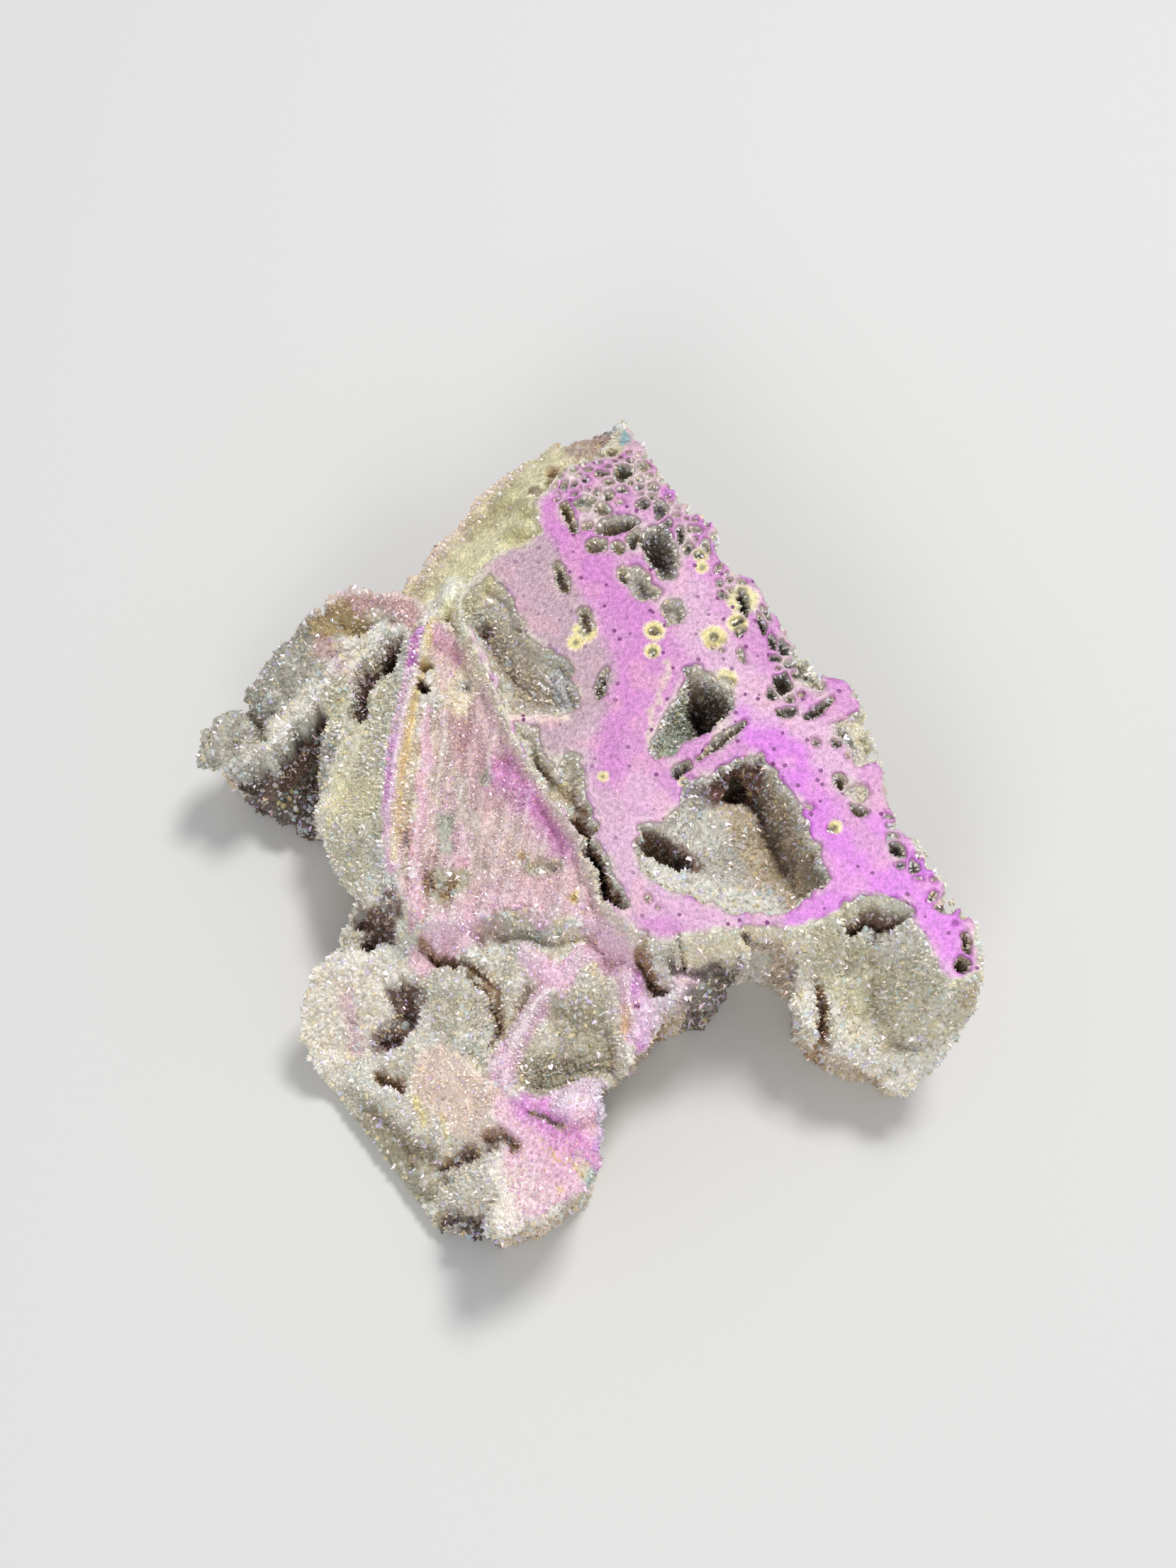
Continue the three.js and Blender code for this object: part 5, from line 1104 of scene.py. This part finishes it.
def stone_colour(x, y, z, look):
    """The broken stone: druse under washes of the coat's colours, some washes painted shade, with a painted
    highlight where it stands out and painted shade with brown in its creases.
    """
    wx, wy = warped(x, y, 0.45, 1.7, 31)
    wx, wy = warped(wx, wy, 0.25, 0.6, 35)
    colour = druse_colour(x, y, z, look)
    depth = surveyed("level", x, y) - z
    shallow = 1 - ramp(depth, 1.5, 4)
    # washes of the broken stone, some of them painted shade
    colour = washed(colour, STONE_WASHES, shallow, wx, wy)
    fold = over(FOLD, (-0.4, 0.8), FOLD_RISE, wx, wy, z) * (1 - cell_share(wx, wy))
    colour = mix(colour, 0.75 * fold, TINTS["fold_pink"])
    patch = over(PATCH, (-0.2, 0.5), (PATCH_Z - 1.8, PATCH_Z - 0.8), wx, wy, z)
    colour = mix(colour, patch, TINTS["blush"])
    colour = washed(colour, FOLD_WASHES, fold, wx, wy)
    colour = washed(colour, PATCH_WASHES, ramp(z, 12, 14), wx, wy)
    nx, ny = warped(x, y, 0.15, 0.8, 37)
    colour = washed(colour, CREST_WASHES, ramp(z, *SPINE_RISE), nx, ny)
    proud = surveyed("proud", x, y)
    # painted highlight: paler bone where the stone stands out of its surroundings
    colour = mix(colour, 0.45 * shallow * ramp(proud, 0.15, 1.1), TINTS["bone"])
    # painted shade with brown in the creases, by how deep they lie, less on the fold and deep in the hollows
    crease_brown_and_shade = 0.5 * ramp(-proud, 0.3, 1.7) * (1 - 0.5 * fold) * (1 - 0.7 * ramp(depth, 4, 8))
    colour = mix(colour, crease_brown_and_shade, np.array(look.crease_brown_and_shade))
    # brown along the clefts; on the gully's and toe cave's lines it is painted shade
    for line, half, name in BROWN_LINES:
        brown = near_line(line, half, 0.5, nx, ny) * ramp(-proud, -0.4, 0.4)
        colour = mix(colour, 0.9 * brown, TINTS[name])
    return colour


def skin_colour(x, y, look):
    """The flat skin: bands of the coat, amber rings and a pale crystalline edge."""
    wx, wy = warped(x, y, 0.55, 1.9, 31)
    wx, wy = warped(wx, wy, 0.25, 0.6, 35)
    colour = np.array(look.skin) + np.zeros((len(x), 3))
    colour = washed(colour, SKIN_WASHES, 1, wx, wy)
    blush = np.clip(bumps(x, y, 2.1, 51) - 0.15, 0, 1)
    colour = mix(colour, 0.6 * blush, TINTS["peach_pink"])
    for cx, cy, radius in HALOS:
        reach = np.hypot(x - cx, y - cy) / radius + 0.12 * noise(x * 1.5, y * 1.5, 57)
        colour = mix(colour, 0.8 * ramp(reach, 1.35, 1.1), TINTS["peach"])
        colour = mix(colour, 0.85 * ramp(reach, 1.2, 0.8), TINTS["halo"])
        colour = mix(colour, 0.8 * ramp(reach, 0.55, 0.4), TINTS["core"])
    rim = 1 - ramp(surveyed("near_skin", x, y), 0.5, 0.92)
    kind = bumps(x, y, 1.6, 53)
    colour = mix(colour, rim * ramp(kind, -0.5, 0.6) * 0.65, TINTS["rim"])
    return 0.88 * mix(colour, rim * ramp(-kind, 0.3, 0.9) * 0.25, TINTS["violet"])


def paint(x, y, z):
    """Linear colour of the stone at each place."""
    look = bpy.context.scene.druzy_stone_colours
    colour = stone_colour(x, y, z, look)
    edge = inside_by(FACE, x, y)
    rim = ramp(edge, -1.4, 0.1) * ramp(z, 19.5, 22) * (1 - ramp(surveyed("near_skin", x, y), 0.2, 0.9))
    colour = mix(colour, 0.65 * rim * (edge < 1.2), TINTS["rim"])
    return mix(colour, skin_share(x, y, z), skin_colour(x, y, look))


# ---- Crystals ----
CRYSTAL_RADIUS = (0.4, 0.75)  # radius, in sizes of the crystal
CRYSTAL_PROUD = (0.2, 0.7)  # how far its tip stands out, in sizes
CRYSTAL_SUNK = 0.35  # how deep its foot is sunk, in sizes
CLEARANCE = 0.02  # least height of a crystal over the table
CRYSTAL_TURN = 0.55  # how far its axis strays from the surface's normal
CRYSTAL_TONES = (0.88, 1.2)  # brightness from crystal to crystal
FACE_TONES = (0.82, 1.18)  # brightness from face to face of one crystal
CRYSTAL_FACES = np.array(
    [(i, (i + 1) % 6, 6) for i in range(6)] + [(0, 2, 1), (0, 3, 2), (0, 4, 3), (0, 5, 4)]
)
# Painted glints: share of the crystals from, to, and the tint mixed into their colour, whiter, gold, lilac
# and cyan like the coat's flashes, and a few darker brown ones.
DRUSE_GLINTS = [
    (0.0, 0.06, "#d8d0ff"), (0.06, 0.12, "#d2f2f8"), (0.12, 0.2, "#f6e4a6"), (0.2, 0.36, "#ffffff"),
    (0.36, 0.44, "#9a8a70"),
]
FROST_GLINTS = [
    (0.0, 0.1, "#f6eef6"), (0.1, 0.16, "#f0d9a0"), (0.16, 0.22, "#d8b4f0"), (0.22, 0.3, "#a98f94"),
]


def scatter(points, normals, triangles, density, spacing, draw):
    """Places (mm) and normals over a surface, no two in one cube of that spacing."""
    a, b, c = (points[triangles[:, i]] for i in range(3))
    area = np.linalg.norm(np.cross(b - a, c - a), axis=1) / 2
    count = int(area.sum() * density)
    chosen = np.searchsorted(np.cumsum(area) / area.sum(), draw.random(count))
    chosen = np.minimum(chosen, len(triangles) - 1)
    u, v = draw.random(count), draw.random(count)
    beyond = u + v > 1
    u, v = np.where(beyond, 1 - u, u), np.where(beyond, 1 - v, v)
    shares = (1 - u - v, u, v)
    corners = triangles[chosen].T
    place = sum(share[:, None] * points[corner] for share, corner in zip(shares, corners))
    normal = sum(share[:, None] * normals[corner] for share, corner in zip(shares, corners))
    normal /= np.linalg.norm(normal, axis=1)[:, None] + 1e-9
    cell = np.floor(place / spacing).astype(np.int64)
    key = (cell[:, 0] * 2003 + cell[:, 1]) * 2003 + cell[:, 2]
    first = np.unique(key, return_index=True)[1]
    return place[first], normal[first]


def crystal_points(place, axis, radius, proud, sunk, draw):
    """Six-sided pointed crystals: seven points each, ring first and tip last."""
    count = len(place)
    helper = np.where(np.abs(axis[:, 2:]) < 0.8, np.array([[0, 0, 1.0]]), np.array([[1.0, 0, 0]]))
    side = np.cross(axis, helper)
    side /= np.linalg.norm(side, axis=1)[:, None]
    other = np.cross(axis, side)
    spin = draw.random(count) * math.tau
    points = np.empty((count, 7, 3))
    for i in range(6):
        angle = spin + i * math.tau / 6
        reach = radius * (1.12 if i % 2 else 0.9) * draw.uniform(0.85, 1.15, count)
        ring = np.cos(angle)[:, None] * side + np.sin(angle)[:, None] * other
        points[:, i] = place + ring * reach[:, None] - axis * sunk[:, None]
    lean = draw.uniform(-1, 1, (count, 1)) * side + draw.uniform(-1, 1, (count, 1)) * other
    points[:, 6] = place + axis * proud[:, None] + 0.25 * radius[:, None] * lean
    return points


def grow(name, place, normal, size, material, seed, glints):
    """One mesh of crystals, each as large as its size says, with its own tint and face glints."""
    draw = np.random.default_rng(seed)
    count = len(place)
    axis = normal + CRYSTAL_TURN * draw.normal(size=(count, 3)) * draw.random((count, 1))
    axis /= np.linalg.norm(axis, axis=1)[:, None]
    radius = size * draw.uniform(*CRYSTAL_RADIUS, count)
    proud = size * draw.uniform(*CRYSTAL_PROUD, count)
    points = crystal_points(place, axis, radius, proud, CRYSTAL_SUNK * size, draw)
    above = points.min(1) > np.array([LOW[0], LOW[1], LOW[2] + CLEARANCE])
    fits = above.all(1) & (points.max(1) < np.array(HIGH)).all(1)
    points, place = points[fits], place[fits]
    count = len(points)
    triangles = (CRYSTAL_FACES[None] + 7 * np.arange(count)[:, None, None]).reshape(-1, 3)
    piece = add_mesh(name, points.reshape(-1, 3), triangles, material, False)
    tone = paint(*place.T) * draw.uniform(*CRYSTAL_TONES, (count, 1))
    kind = draw.random(count)
    for low, high, tint in glints:
        chosen = (kind >= low) & (kind < high)
        tone[chosen] += 0.5 * (np.array(linear(tint)) - tone[chosen])
    faces = np.repeat(tone, len(CRYSTAL_FACES), axis=0)
    faces = faces * draw.uniform(*FACE_TONES, (len(faces), 1))
    set_tint(piece, "FACE", faces)
    return piece


# ---- Materials ----
def add_node(tree, kind, settings=None, links=None):
    """A node with its settings (by property or input name) and links (input: source socket)."""
    node = tree.nodes.new(kind)
    for key, value in (settings or {}).items():
        if isinstance(key, str) and hasattr(node, key):
            setattr(node, key, value)
        else:
            node.inputs[key].default_value = value
    for key, source in (links or {}).items():
        tree.links.new(source, node.inputs[key])
    return node


def new_material(name):
    """A material with an empty tree, and the function that adds a node to that tree."""
    material = bpy.data.materials.new(name)
    material.use_nodes = True
    material.node_tree.nodes.clear()
    return material, functools.partial(add_node, material.node_tree)


def scale_for(size_mm):
    """Texture scale that gives features of that size, in object coordinates (metres)."""
    return 1 / (size_mm * MM)


QUARTZ_IOR = 1.54
CRINKLE = 0.5  # mm, the fine folds of the coat, drawn as coarse as they need to show
SUGAR = 0.34  # mm, grains of the bed between the crystals
PORE_GAP = 1.15  # mm between the places where a pore may be
GROWTH_MARKS = 0.2  # mm, steps of growth on a crystal's faces
BOARD_TOOTH = 1.2  # mm, tooth of the painted board, drawn coarser than it is so that it shows


def coated_stone():
    """Quartz under a vapour-deposited metal coat, grown and then cut flat.

    The skin reads as satin, finely crinkled and pored, with a soft pink sheen. Between crystals the bed is
    a rough, matt sugar.
    """
    material, add = new_material("vapour_coated_quartz_skin")
    place = add("ShaderNodeTexCoord").outputs["Object"]
    tint = add("ShaderNodeAttribute", {"attribute_name": "tint"}).outputs["Color"]
    skin = add("ShaderNodeAttribute", {"attribute_name": "skin"}).outputs["Fac"]
    crinkle = add(
        "ShaderNodeTexNoise", {"Scale": scale_for(CRINKLE), "Detail": 3.0, "Roughness": 0.7},
        {"Vector": place},
    ).outputs["Fac"]
    sugar = add("ShaderNodeTexVoronoi", {"Scale": scale_for(SUGAR)}, {"Vector": place}).outputs["Distance"]
    pores = add("ShaderNodeTexVoronoi", {"Scale": scale_for(PORE_GAP), "Randomness": 1.0}, {"Vector": place})
    lot = add("ShaderNodeSeparateColor", None, {"Color": pores.outputs["Color"]}).outputs["Red"]
    drawn = add("ShaderNodeMath", {"operation": "GREATER_THAN", 1: 0.5}, {0: lot}).outputs["Value"]
    pore = add(
        "ShaderNodeMapRange", {"From Min": 0.12, "From Max": 0.2, "To Min": 1.0, "To Max": 0.0},
        {"Value": pores.outputs["Distance"]},
    ).outputs["Result"]
    for share in (drawn, skin):
        pore = add("ShaderNodeMath", {"operation": "MULTIPLY"}, {0: pore, 1: share}).outputs["Value"]
    # On the skin the same crinkle raises the bump and scales the tint, so the crinkles' tops are painted
    # lighter and their troughs darker, a fine painted shade; on the bed between crystals it is mottling only.
    speckle = add(
        "ShaderNodeMapRange", {"From Min": 0.34, "From Max": 0.66, "To Min": 0.7, "To Max": 1.2},
        {"Value": crinkle},
    ).outputs["Result"]
    shaded = add("ShaderNodeVectorMath", {"operation": "SCALE"}, {0: tint, "Scale": speckle})
    coloured = add(
        "ShaderNodeMix", {"data_type": "RGBA", 7: (*TINTS["pore"], 1.0)},
        {0: pore, 6: shaded.outputs["Vector"]},
    ).outputs[2]
    height = add("ShaderNodeMix", {"data_type": "FLOAT"}, {0: skin, 2: sugar, 3: crinkle}).outputs[0]
    height = add("ShaderNodeMath", {"operation": "SUBTRACT"}, {0: height, 1: pore}).outputs["Value"]
    bump = add("ShaderNodeBump", {"Strength": 0.85, "Distance": 0.25 * MM}, {"Height": height})
    rough = add("ShaderNodeMapRange", {"To Min": 0.62, "To Max": 0.42}, {"Value": skin}).outputs["Result"]
    shader = add(
        "ShaderNodeBsdfPrincipled",
        {"IOR": QUARTZ_IOR, "Metallic": 0.12, "Coat Weight": 0.15, "Coat Roughness": 0.3},
        {"Base Color": coloured, "Roughness": rough, "Normal": bump.outputs["Normal"]},
    )
    add("ShaderNodeOutputMaterial", None, {"Surface": shader.outputs["BSDF"]})
    return material


def coated_crystal():
    """Small quartz points under the same vapour-deposited coat, grown and never polished.

    Flat bright faces that flash white, gold, lilac and cyan as they turn.
    """
    material, add = new_material("vapour_coated_quartz_druse")
    place = add("ShaderNodeTexCoord").outputs["Object"]
    tint = add("ShaderNodeAttribute", {"attribute_name": "tint"}).outputs["Color"]
    growth_marks = add(
        "ShaderNodeTexNoise", {"Scale": scale_for(GROWTH_MARKS), "Detail": 2.0}, {"Vector": place}
    ).outputs["Fac"]
    shade = add(
        "ShaderNodeMapRange", {"From Min": 0.3, "From Max": 0.7, "To Min": 0.85, "To Max": 1.12},
        {"Value": growth_marks},
    ).outputs["Result"]
    shaded = add("ShaderNodeVectorMath", {"operation": "SCALE"}, {0: tint, "Scale": shade})
    rough = add("ShaderNodeMapRange", {"To Min": 0.12, "To Max": 0.34}, {"Value": growth_marks})
    shader = add(
        "ShaderNodeBsdfPrincipled",
        {"IOR": QUARTZ_IOR, "Metallic": 0.1, "Specular IOR Level": 0.8, "Thin Film Thickness": 420.0,
         "Thin Film IOR": 1.9},
        {"Base Color": shaded.outputs["Vector"], "Roughness": rough.outputs["Result"]},
    )
    add("ShaderNodeOutputMaterial", None, {"Surface": shader.outputs["BSDF"]})
    return material


def studio_floor():
    """Matt painted board: pale, with a faint tooth that keeps it from looking like plastic."""
    material, add = new_material("matt_painted_board")
    place = add("ShaderNodeTexCoord").outputs["Object"]
    tooth = add(
        "ShaderNodeTexNoise", {"Scale": scale_for(BOARD_TOOTH), "Detail": 2.0}, {"Vector": place}
    ).outputs["Fac"]
    bump = add("ShaderNodeBump", {"Strength": 0.15, "Distance": 0.1 * MM}, {"Height": tooth})
    paint_colour = (*bpy.context.scene.druzy_stone_colours.floor, 1.0)
    shader = add(
        "ShaderNodeBsdfPrincipled", {"Base Color": paint_colour, "Roughness": 0.8},
        {"Normal": bump.outputs["Normal"]},
    )
    add("ShaderNodeOutputMaterial", None, {"Surface": shader.outputs["BSDF"]})
    return material


# ---- What a user would change ----
def length_in_mm(name, description, default):
    """A property that holds a length, given in millimetres."""
    return bpy.props.FloatProperty(
        name=name, description=description, default=default * MM, min=0.0, unit="LENGTH", precision=5
    )


def tint_as_hex(name, description, text):
    """A property that holds a colour, given as sRGB hex."""
    return bpy.props.FloatVectorProperty(
        name=name, description=description, subtype="COLOR", size=3, min=0.0, max=1.0, default=linear(text)
    )


class DruzyStoneSizes(bpy.types.PropertyGroup):
    """Sizes of the meshes and of the crystals"""

    stone_step: length_in_mm("Stone step", "Spacing of the grid that the stone is meshed on", 0.32)
    crown_step: length_in_mm("Crown step", "Spacing of the grid that the stone's top is meshed on", 0.2)
    druse_size: length_in_mm("Druse crystal", "Usual size of a crystal of the druse", 0.6)
    druse_spacing: length_in_mm("Druse spacing", "Distance between crystals of the druse", 0.5)
    side_size: length_in_mm("Side crystal", "Usual size of a crystal on the broken sides", 0.85)
    side_spacing: length_in_mm("Side spacing", "Distance between crystals on the broken sides", 0.75)
    frost_size: length_in_mm("Frost grain", "Size of the fine crystals on the folds", 0.38)
    frost_spacing: length_in_mm("Frost spacing", "Distance between the fine crystals on the folds", 0.36)


class DruzyStoneColours(bpy.types.PropertyGroup):
    """Main colours of the stone and of the floor"""

    skin: tint_as_hex("Skin", "Pink of the flat coated skin", "#db93cd")
    druse: tint_as_hex("Druse", "Grey beige of the usual druse", "#e6dfc9")
    pale_druse: tint_as_hex("Pale druse", "Lightest druse", "#eeebdf")
    grey_druse: tint_as_hex("Grey druse", "Coolest druse", "#d6d8ce")
    # mixed in the deeper the druse lies: its own tint there and painted shade
    khaki: tint_as_hex("Khaki", "Druse deep in the hollows", "#c4af8b")
    # mixed into the creases by their depth: the creases' brown and painted shade
    crease_brown_and_shade: tint_as_hex("Crevice", "Brown of the deep crevices", "#94705c")
    floor: tint_as_hex("Floor", "Pale studio floor", "#d9d8d5")


# ---- Building ----
QUICK_STEP = 1
QUICK_CRYSTAL = 1  # and larger crystals, farther apart
PLACES_SEED = 11
BED_Z = 0.5  # mm, no crystal stands lower
FLANK_Z = 15  # mm, above this the druse also stands on steep and overhanging faces
SIDE_TOP_Z = 22  # mm, top of the side wall's crystals
SIDE_REACH = 3  # mm, how far in from the outline they stand
SAWN_GAP = 0.8  # mm, how far from the saw cut
SPLIT_Y = -5  # mm, where the druse is split into its north and south pieces


class STONE_OT_body(bpy.types.Operator):
    """Build the stone with its skin, folds, hollows and pits"""

    bl_idname = "stone.body"
    bl_label = "Stone"

    def execute(self, context):
        sizes = context.scene.druzy_stone_sizes
        material = coated_stone()
        for name, step, floor, ceiling in (
            ("slab_stone", sizes.stone_step, 0, CROWN_Z + CROWN_LAP),
            ("slab_crown", sizes.crown_step, CROWN_Z, FACE_Z + 1),
        ):
            points, triangles = stone_shell(step / MM * QUICK_STEP, floor, ceiling, LEAST_SHELL[name])
            piece = add_mesh(name, points, triangles, material, True)
            near_skin = surveyed("near_skin", points[:, 0], points[:, 1])
            on_skin = (points[:, 2] > CROWN_Z - 1) & (near_skin > 0.03)
            if len(triangles) > BODY_TRIANGLES:
                thinned(piece, ~on_skin, BODY_TRIANGLES)
            x, y, z = read_mesh(piece)[0].astype(float).T
            set_tint(piece, "POINT", paint(x, y, z))
            skin = skin_share(x, y, z) * (1 - 0.5 * sugary_share(x, y))
            set_skin(piece, np.maximum(skin, 0.4 * frost_share(x, y, z)))
            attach(piece, "root")
            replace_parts(piece, "slab")
        return {"FINISHED"}


class STONE_OT_druse(bpy.types.Operator):
    """Grow the crystals on the stone, on the folds and in the hollows"""

    bl_idname = "stone.druse"
    bl_label = "Crystals"

    def execute(self, context):
        sizes = context.scene.druzy_stone_sizes
        material = coated_crystal()
        stone = joined(*(read_mesh(bpy.data.objects[name]) for name in ("slab_stone", "slab_crown")))
        draw = np.random.default_rng(PLACES_SEED)

        def spread(size, spacing):
            """Places, normals and sizes of crystals all over the stone."""
            spacing = spacing / MM * QUICK_CRYSTAL
            place, normal = scatter(*stone, 4 / spacing**2, spacing, draw)
            x, y, z = place.T
            return place, normal, size / MM * QUICK_CRYSTAL * (1 + 0.3 * noise(x / 3, y / 3, z / 3))

        def plant(name, chosen, seed, glints=DRUSE_GLINTS):
            """One piece, of the crystals at the chosen places."""
            piece = grow(name, place[chosen], normal[chosen], size[chosen], material, seed, glints)
            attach(piece, "root")
            return piece

        place, normal, size = spread(sizes.druse_size, sizes.druse_spacing)
        x, y, z = place.T
        bare = (1 - skin_share(x, y, z)) * (1 - frost_share(x, y, z)) * growth(x, y)
        upward = (normal[:, 2] > 0.05) | (z > FLANK_Z)
        rest = (draw.random(len(x)) < bare) & upward & (z > BED_Z)
        for seed, name in enumerate(CRUSTED):
            inside = rest & (inside_by(HOLLOWS[name][0], x, y) > 0)
            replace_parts(plant(f"{name}_druse", inside, 20 + seed), f"{name}_crust")
            rest &= ~inside
        plant("north_druse", rest & (y > SPLIT_Y), 31)
        plant("south_druse", rest & (y <= SPLIT_Y), 32)

        place, normal, size = spread(sizes.side_size, sizes.side_spacing)
        x, y, z = place.T
        outside = (z > BED_Z) & (z < SIDE_TOP_Z) & (inside_by(OUTLINE, x, y) < SIDE_REACH)
        side = (normal[:, 2] <= 0.15) & outside
        plant("side_druse", side & (nearest(SAWN_EDGE, x, y)[0] > SAWN_GAP), 41)

        place, normal, size = spread(sizes.frost_size, sizes.frost_spacing)
        x, y, z = place.T
        frosted = frost_share(x, y, z) * (1 - skin_share(x, y, z)) * growth(x, y)
        plant("fold_frost", draw.random(len(x)) < frosted, 51, FROST_GLINTS)
        return {"FINISHED"}


AIR = "#e9ecf2"
AIR_STRENGTH = 0.56
FLOOR_HALF = 1.5  # m, half the floor's width
# Soft lights: name, place and size in metres, and power in watts.
LIGHTS = (("key", (0.16, 0.2, 0.6), 0.14, 2.4), ("fill", (-0.1, -0.5, 0.4), 0.25, 1.1))
CAMERA_PLACE = (0.0014, -0.07914, 0.21942)  # m
CAMERA_TILT = 22  # degrees from looking straight down
LENS = 50.0  # mm
SENSOR = 36.0  # mm


class STONE_OT_stage(bpy.types.Operator):
    """Set the pale floor, the soft lights and the camera"""

    bl_idname = "stone.stage"
    bl_label = "Studio"

    def execute(self, context):
        scene = context.scene
        scene.view_settings.view_transform = "Standard"
        world = bpy.data.worlds.new("studio_air")
        world.use_nodes = True
        background = world.node_tree.nodes["Background"]
        background.inputs["Color"].default_value = (*linear(AIR), 1.0)
        background.inputs["Strength"].default_value = AIR_STRENGTH
        scene.world = world
        corners = np.array([(-1, -1, 0), (1, -1, 0), (1, 1, 0), (-1, 1, 0)]) * FLOOR_HALF / MM
        floor = add_mesh("floor", corners, np.array([(0, 1, 2), (0, 2, 3)]), studio_floor(), False)
        for name, place, size, power in LIGHTS:
            light = bpy.data.lights.new(name, "AREA")
            light.size = size
            light.energy = power
            lamp = bpy.data.objects.new(name, light)
            lamp.location = place
            aim = -lamp.location
            lamp.rotation_euler = aim.to_track_quat("-Z", "Y").to_euler()
            scene.collection.objects.link(lamp)
        camera = bpy.data.cameras.new("camera")
        camera.lens = LENS
        camera.sensor_width = SENSOR
        camera.clip_start = 0.01
        eye = bpy.data.objects.new("camera", camera)
        eye.location = CAMERA_PLACE
        eye.rotation_euler = (math.radians(CAMERA_TILT), 0, 0)
        scene.collection.objects.link(eye)
        scene.camera = eye
        return {"FINISHED"}


class STONE_PT_panel(bpy.types.Panel):
    """The stone's sizes, colours and building steps"""

    bl_idname = "STONE_PT_panel"
    bl_label = "Coated druzy quartz slab"
    bl_space_type = "VIEW_3D"
    bl_region_type = "UI"
    bl_category = "Stone"

    def draw(self, context):
        for group in (context.scene.druzy_stone_sizes, context.scene.druzy_stone_colours):
            for name in type(group).__annotations__:
                self.layout.prop(group, name)
        for step in STEPS:
            self.layout.operator(step.bl_idname)


STEPS = (STONE_OT_body, STONE_OT_druse, STONE_OT_stage)
CLASSES = (DruzyStoneSizes, DruzyStoneColours, *STEPS, STONE_PT_panel)


def register():
    for cls in CLASSES:
        bpy.utils.register_class(cls)
    bpy.types.Scene.druzy_stone_sizes = bpy.props.PointerProperty(type=DruzyStoneSizes)
    bpy.types.Scene.druzy_stone_colours = bpy.props.PointerProperty(type=DruzyStoneColours)


def unregister():
    del bpy.types.Scene.druzy_stone_sizes
    del bpy.types.Scene.druzy_stone_colours
    for cls in reversed(CLASSES):
        bpy.utils.unregister_class(cls)


def main():
    register()
    bpy.ops.stone.body()
    bpy.ops.stone.druse()
    bpy.ops.stone.stage()


if __name__ == "__main__":
    main()
